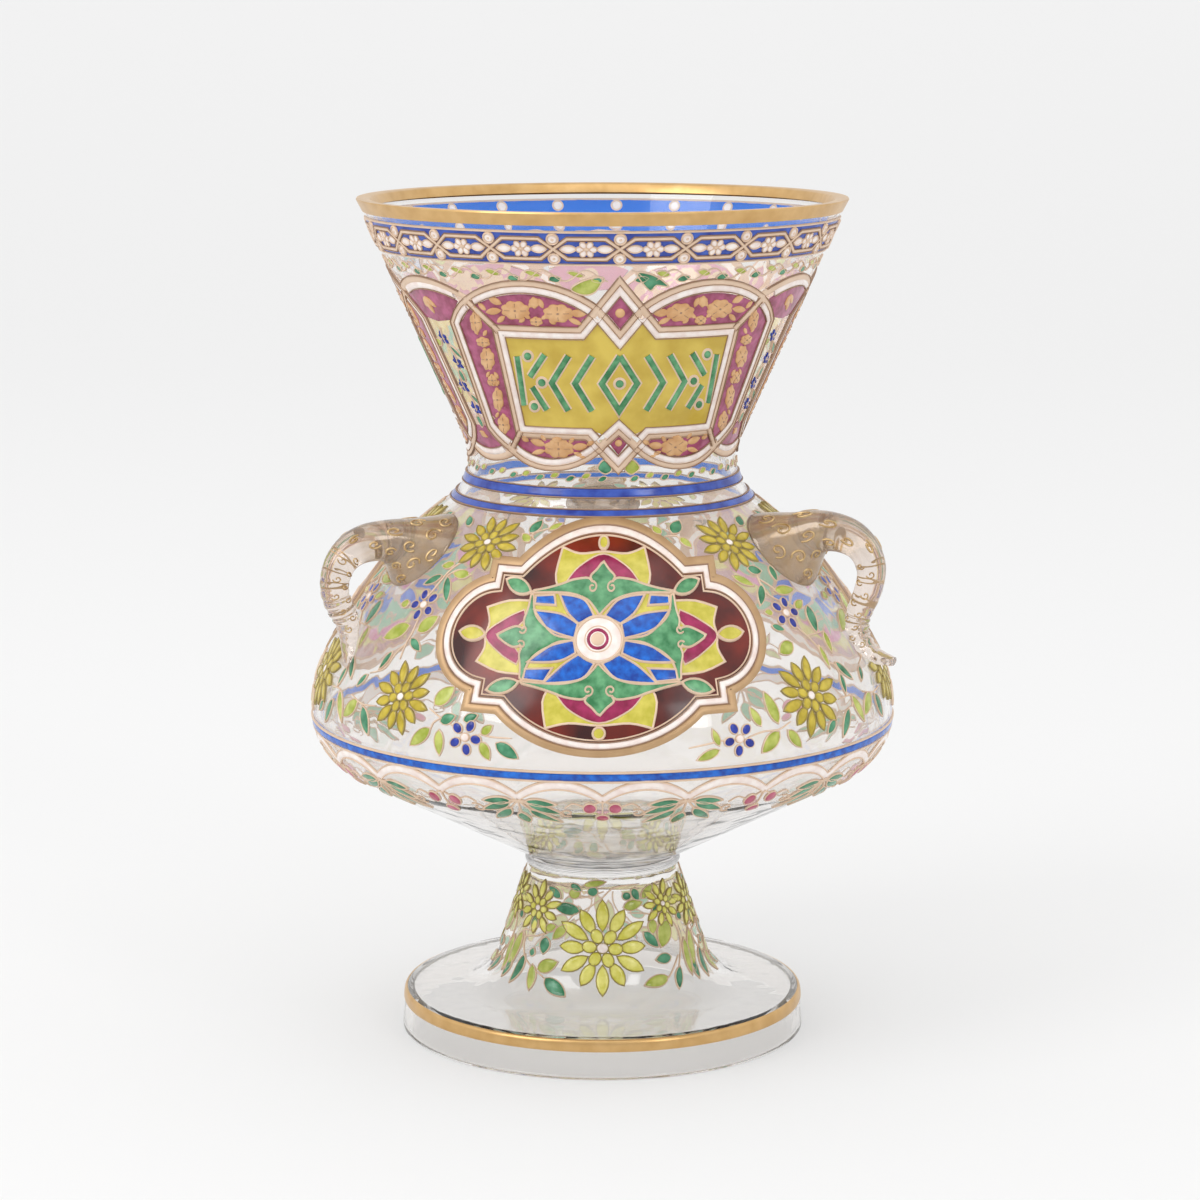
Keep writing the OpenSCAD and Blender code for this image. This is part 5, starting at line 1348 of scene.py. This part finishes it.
# %% Shoulder sprays
# Flowers: degrees, height and size
YELLOW_AT = [(-37.0, 148.0, 9.8), (41.3, 147.6, 9.8), (-42.7, 108.6, 10.4), (44.6, 108.6, 11.4)]
BLUE_AT = [(-46.9, 131.5, 5.0), (47.1, 129.4, 5.0), (-26.3, 100.8, 5.0), (26.2, 100.4, 4.8)]
LEAVES = [(-49, 151, 135, 5, 2.5, GREEN), (-44, 142, -165, 4.5, 2.5, LIME), (-37, 140, -180, 6, 3, LIME),
          (-46, 139, -145, 6.5, 2.5, GREEN), (-44, 139, -60, 9, 2.5, GREEN), (-52, 131, -170, 3.5, 2.5, LIME),
          (-48, 126, -150, 10.5, 4.5, LIME), (-45, 125, 45, 7.5, 4.5, LIME), (-46, 123, -30, 6, 2.5, GREEN),
          (-50, 119, -115, 6.5, 2, GREEN), (-55, 112, -125, 5, 2, GREEN), (-55, 105, -140, 8.5, 4, LIME),
          (-53, 104, -60, 8.5, 3.5, GREEN), (-34, 108, 50, 7.5, 4.5, LIME), (-32, 104, 25, 5, 3, GREEN),
          (-34, 102, -140, 8.5, 3.5, LIME), (-32, 102, -85, 7, 3, LIME), (-23, 102, 40, 4, 2.5, LIME),
          (-23, 100, -60, 5.5, 3, LIME), (-20, 100, -30, 7.5, 3.5, GREEN), (-27, 105, 25, 4.5, 2.5, GREEN),
          (-24, 151, 70, 5.5, 3, GREEN), (-18, 152, 40, 4.5, 2, LIME), (-23, 149, 135, 4, 2.5, LIME),
          (19, 151, 115, 3.5, 2.5, LIME), (23, 151, 50, 6, 3.5, GREEN), (25, 150, -60, 4.5, 2.5, LIME),
          (51, 151, 40, 5, 3, GREEN), (51, 141, -105, 5.5, 2.5, GREEN), (42, 141, -15, 5, 3, GREEN),
          (36, 140, -35, 7, 2.5, LIME), (44, 137, -125, 7.5, 2.5, GREEN), (47, 135, -5, 8.5, 3, LIME),
          (51, 130, 20, 5, 2.5, LIME), (56, 130, -105, 8.5, 4, GREEN), (43, 130, 170, 3, 2, LIME),
          (41, 127, -25, 4.5, 2, GREEN), (45, 122, -160, 6.5, 4, LIME), (57, 123, -95, 6.5, 2.5, LIME),
          (53, 120, -85, 7, 2, LIME), (56, 115, -50, 8, 2.5, GREEN), (56, 112, -100, 6, 2, GREEN),
          (35, 103, 105, 9.5, 3.5, LIME), (31, 103, 115, 6, 2.5, LIME), (57, 106, -60, 9.5, 3, LIME),
          (55, 103, -120, 8.5, 3, GREEN), (35, 101, -140, 8, 4, LIME), (37, 101, -50, 7, 3, LIME),
          (22, 99, 110, 5, 2, LIME), (22, 98, -160, 7, 2.5, LIME), (50, 101, -140, 5, 2.5, GREEN)]
STALKS = [
    [(-42, 143), (-44.5, 140.5), (-46, 136.5), (-47, 133.5)], [(-36.5, 140), (-41.5, 141), (-44.5, 139)],
    [(-46.5, 129), (-46.5, 124.5), (-47, 121.5), (-47, 117.5)], [(-35, 107), (-32, 105), (-28.5, 103)],
    [(-47, 121.5), (-49, 118.5), (-50.5, 114.5), (-54.5, 112.5)], [(-23.5, 102), (-21, 101.5), (-17, 101.5)],
    [(-21.5, 149.5), (-23, 151), (-18, 152.5), (-13, 153.5)], [(-49, 105), (-53.5, 104.5), (-58, 106)],
    [(45, 141.5), (44, 138.5), (44, 135), (47, 132.5)], [(-32, 105), (-33.5, 103.5), (-34, 101.5)],
    [(47, 127), (50.5, 123), (52.5, 119.5), (53, 115.5)], [(23.5, 100.5), (21, 100), (16, 99)],
    [(38, 103), (35, 101.5), (31.5, 101.5), (28, 100.5)], [(52.5, 106), (57, 106), (56.5, 103)],
    [(50.5, 123), (54, 123), (57, 123)], [(44, 138.5), (47, 136), (47.5, 135)],
    [(53, 115.5), (55.5, 114.5), (56, 111.5)], [(20, 150.5), (24, 150.5), (25, 149.5)]]
shoulder = Brush()
for a, z, size in YELLOW_AT:
    shoulder.charts = patches(BODY, a, z)
    yellow_flower(shoulder, size, 12, 90 + a)
for a, z, size in BLUE_AT:
    shoulder.charts = patches(BODY, a, z)
    blue_flower(shoulder, size, 20 + a)
greenery(shoulder, BODY, LEAVES, STALKS)
shoulder.piece("shoulder_yellow_flowers", "olive", "shoulder_yellow_blossoms", of="petals")
shoulder.piece("shoulder_blue_flowers", "flower_blue", "shoulder_blue_blossoms")
shoulder.piece("shoulder_white_hearts", "white")
shoulder.piece("shoulder_green_leaves", GREEN, "shoulder_leaves")
shoulder.piece("shoulder_lime_leaves", LIME)
shoulder.piece("shoulder_brown_lines", "olive_line")
shoulder.piece("shoulder_gold_stems", "gold_line")

# %% [markdown]
# The foot has one large flower in front, two smaller ones beside it, and the same kind of
# leaves, with a few round buds near the top.

# %% Foot sprays
# Flowers: degrees, height, size, number of petals and turn; buds: degrees, height, size, paint
FOOT_FLOWERS = [(0, 29.2, 13.8, 12, 90), (-47, 38.2, 8.2, 10, 90), (44, 39.6, 7.2, 10, 70)]
FOOT_LEAVES = [(-15, 39, 175, 8.5, 3.5, GREEN), (-38, 33, 20, 4, 2.5, LIME), (-36, 31, -90, 5, 3.5, GREEN),
               (-44, 25, 85, 2.5, 2, GREEN), (-38, 22, 25, 7, 4, LIME), (-49, 25, -105, 9.5, 3, GREEN),
               (-42, 23, -75, 8, 3, LIME), (-32, 20, -30, 9.5, 4, GREEN), (-56, 31, -105, 13, 3.5, LIME),
               (-47, 32, 95, 4.5, 3, GREEN), (-23, 35, -130, 6, 3, LIME), (34, 38, 20, 8.5, 3.5, GREEN),
               (56, 34, 65, 2.5, 2.5, GREEN), (14, 40, 10, 6, 3, LIME), (45, 35, -120, 8.5, 5, LIME),
               (34, 36, -105, 4.5, 3, LIME), (56, 29, -95, 11, 3, LIME), (42, 25, -180, 5.5, 3, GREEN),
               (47, 22, -120, 7.5, 2.5, GREEN), (37, 20, -170, 8.5, 3.5, LIME),
               (60, 23, -100, 6.5, 2.5, GREEN),
               (26, 33, -50, 6.5, 3, GREEN), (-14, 46, 10, 6.5, 2, LIME), (22, 45, -70, 4, 2.5, GREEN),
               (-24, 46, -25, 4, 2, GREEN), (28, 42, 40, 5.5, 2.5, LIME), (-30, 42, 150, 5.5, 2.5, GREEN)]
FOOT_STALKS = [[(-17, 39), (-27, 34.5), (-41.5, 31), (-52.5, 29.5), (-50, 25), (-43.5, 22.5), (-34.5, 20.5),
                (-31, 19.5)], [(17, 38.5), (32.5, 37.5), (49.5, 34.5), (53, 29), (46, 21.5)],
               [(48, 25), (38, 20), (31, 19.5)], [(-15, 38.5), (-2.5, 42), (9, 45.5), (28, 46)],
               [(-18, 42.5), (-10.5, 43), (1, 44.5)], [(-52.5, 29.5), (-55.5, 31.5), (-46.5, 31.5)]]
FOOT_BUDS = [(-20, 43.6, 1.7, LIME), (-7, 44.4, 1.5, GREEN), (17, 43.0, 1.3, GREEN), (52, 40.6, 1.5, LIME)]
foot = Brush()
for a, z, size, count, turn in FOOT_FLOWERS:
    foot.charts = patches(FOOT, a, z)
    yellow_flower(foot, size, count, turn)
for a, z, size, paint in FOOT_BUDS:
    foot.charts = patches(FOOT, a, z)
    foot.cell(paint, "gold_line", ellipse((0, 0), size, size * 0.9, 0, 14), (0.18, 0.45), (0.32, 0.5), 0.8)
greenery(foot, FOOT, FOOT_LEAVES, FOOT_STALKS)
# Painted light: these flowers take a lighter copy of the lime, since facing down they get less light.
foot.piece("foot_yellow_flowers", "pale_lime", "foot_blossoms", of="petals")
foot.piece("foot_white_hearts", "white")
foot.piece("foot_green_leaves", GREEN, "foot_leaves")
foot.piece("foot_lime_leaves", LIME)
foot.piece("foot_brown_lines", "olive_line")
foot.piece("foot_gold_stems", "gold_line")

# %% [markdown]
# ## Scallops under the belly
# Below the belly's blue ring hang scallops: a white band between two gold lines. Berries and
# fans of leaves hang by turns from the cusps, with small gold scrolls between them.

# %% Scallop border
SCALLOPS, CUSP = 22, 85.0
wide = 2 * np.pi / SCALLOPS
half = wide * radius_at(BODY, CUSP) / 2
bow = arc((-half, 0), (half, 0), 4.5, 19)
scallops = Brush([patch_chart(BODY, (k + 0.5) * wide, CUSP) for k in range(SCALLOPS)])
scallops.add("white", stroke(bow + [0, 0.3], 2.3, 0.4, 1.4))
scallops.add("gold_line", *(stroke(bow + [0, d], 0.5, 0.45, 1.4) for d in (1.6, -1.0)))
scallops.charts = [patch_chart(BODY, k * wide, CUSP) for k in range(0, SCALLOPS, 2)]
for at in ((-3.4, -3.2), (3.4, -3.2), (0, -8.4)):
    scallops.cell("crimson", "gold_line", ellipse(at, 1.75, 2.1, 0, 16), (0.2, 0.6), (0.45, 0.5))
scallops.add("gold_line", stroke(smooth([(-2.6, -1.8), (0, -0.4), (2.6, -1.8)], 9), 0.5, 0.4),
             stroke([(0, -0.6), (0, -6.2)], 0.5, 0.4))
t = np.linspace(0, 1, 20)
shrink = 2.2 * (1 - 0.75 * t)
for flip in (1, -1):
    a = flip * (1 + 7 * t)
    curl = np.stack([flip * (9.4 - shrink * np.cos(a)), -6.0 + shrink * np.sin(a)], 1)
    tendril = smooth([(flip * 5.4, -2.4), (flip * 8.0, -1.4), (flip * 10.0, -3.2)], 9)
    scallops.add("gold_line", stroke(curl, 0.4, 0.35, 0.8), stroke(tendril, 0.4, 0.35))
scallops.charts = [patch_chart(BODY, k * wide, CUSP) for k in range(1, SCALLOPS, 2)]
TIE = np.array([0, -0.8])
for a, start, end, width in [(-174, 2.0, 10.4, 2.7), (-6, 2.0, 10.4, 2.7), (-154, 2.6, 12.4, 3.0),
                             (-26, 2.6, 12.4, 3.0), (-126, 4.4, 15.6, 3.4), (-54, 4.4, 15.6, 3.4),
                             (-92, 5.4, 15.0, 3.4)]:
    scallops.cell("leaf_green", "gold_line", petal(TIE, a, start, end, width), (0.2, 0.45), (0.5, 0.5))
    scallops.add("gold_line", stroke(TIE + np.outer([0, start + 0.4], way(a)), 0.6, 0.42))
scallops.piece("scallop_white_band", "white", "scallop_border")
scallops.piece("scallop_gold_lines", "gold_line")
scallops.piece("scallop_berries", "crimson", "berry_clusters")
scallops.piece("scallop_leaf_fans", "leaf_green", "leaf_fans")

# %% [markdown]
# ## Stage
# The lamp stands on plain pale paper that curves up behind it. The paper glows a little, as
# over a light table, which keeps the shadow faint and lights the glass from below.

# %% Paper
BEND, BEND_FROM = 1.2, 1.6
t = np.linspace(0, np.pi / 2, 24)
bend = np.stack([BEND_FROM + BEND * np.sin(t), BEND - BEND * np.cos(t)], 1)
sweep = np.concatenate([[(-3.0, 0), (BEND_FROM, 0)], bend[1:], [(2.8, 4.0)]])
across = np.linspace(-4, 4, 9)
grid = np.stack(np.broadcast_arrays(across[None], sweep[:, :1], sweep[:, 1:]), -1)
index = np.arange(grid.size // 3).reshape(grid.shape[:2])
faces = np.stack([index[:-1, :-1], index[:-1, 1:], index[1:, 1:], index[1:, :-1]], -1).reshape(-1, 4)
paper_mesh = bpy.data.meshes.new("paper")
paper_mesh.from_pydata(grid.reshape(-1, 3).tolist(), [], faces.tolist())
paper_mesh.polygons.foreach_set("use_smooth", np.ones(len(faces), bool))
paper = bpy.data.objects.new("paper", paper_mesh)
scene.collection.objects.link(paper)
pale_paper, tree, shader, place = principled("pale_paper", {
    "Base Color": linear("#B4B4B4"), "Emission Color": linear("#FFFFFF"), "Roughness": 0.9,
    "Specular IOR Level": 0.1})
axes = node(tree, "ShaderNodeSeparateXYZ", {"Vector": place})
glow = node(tree, "ShaderNodeMapRange", {"Value": axes.outputs["Z"], "To Min": 0.415, "To Max": 0.555})
fill(shader, {"Emission Strength": glow.outputs["Result"]})
paper_mesh.materials.append(pale_paper)
print("paper faces", len(faces))

# %% [markdown]
# ## Light
# The room is bright, darker low down and behind the camera, so that clear glass shows its
# edges and gold its depth. Three softboxes, left, right and overhead, put the sheen on the
# enamel. Light passes many walls of glass, so it may bounce often.

# %% Light
world = bpy.data.worlds.new("studio")
scene.world = world
world.use_nodes = True
tree = world.node_tree
sky = node(tree, "ShaderNodeTexCoord", {})
axes = node(tree, "ShaderNodeSeparateXYZ", {"Vector": sky.outputs["Generated"]})
height = node(tree, "ShaderNodeMapRange", {"Value": axes.outputs["Z"], "From Min": -0.2, "From Max": 0.6,
                                           "To Min": 0.75, "To Max": 1.08})
front = node(tree, "ShaderNodeMapRange", {"Value": axes.outputs["Y"], "From Min": -0.9, "From Max": 0.1,
                                          "To Min": 0.74, "To Max": 1.0})
bright = node(tree, "ShaderNodeMath", {0: height.outputs["Result"], 1: front.outputs["Result"]},
              operation="MULTIPLY")
fill(tree.nodes["Background"], {"Color": linear("#FFFFFF"), "Strength": bright.outputs[0]})
AIM = mathutils.Vector((0, 0, 0.12))
for name, at, size, watts in (("softbox_left", (-1.1, -0.9, 1.3), (0.9, 1.2), 9),
                              ("softbox_right", (0.95, -1.25, 1.0), (0.4, 0.7), 3),
                              ("softbox_top", (0.1, -0.6, 1.7), (1.2, 0.8), 2)):
    light = bpy.data.lights.new(name, "AREA")
    light.shape = "RECTANGLE"
    light.size, light.size_y = size
    light.energy = watts
    softbox = bpy.data.objects.new(name, light)
    softbox.location = at
    softbox.rotation_euler = (AIM - mathutils.Vector(at)).to_track_quat("-Z", "Y").to_euler()
    scene.collection.objects.link(softbox)
scene.view_settings.view_transform = "Standard"
scene.cycles.max_bounces = 24
scene.cycles.transmission_bounces = 24
scene.cycles.glossy_bounces = 8
print("stage ready")
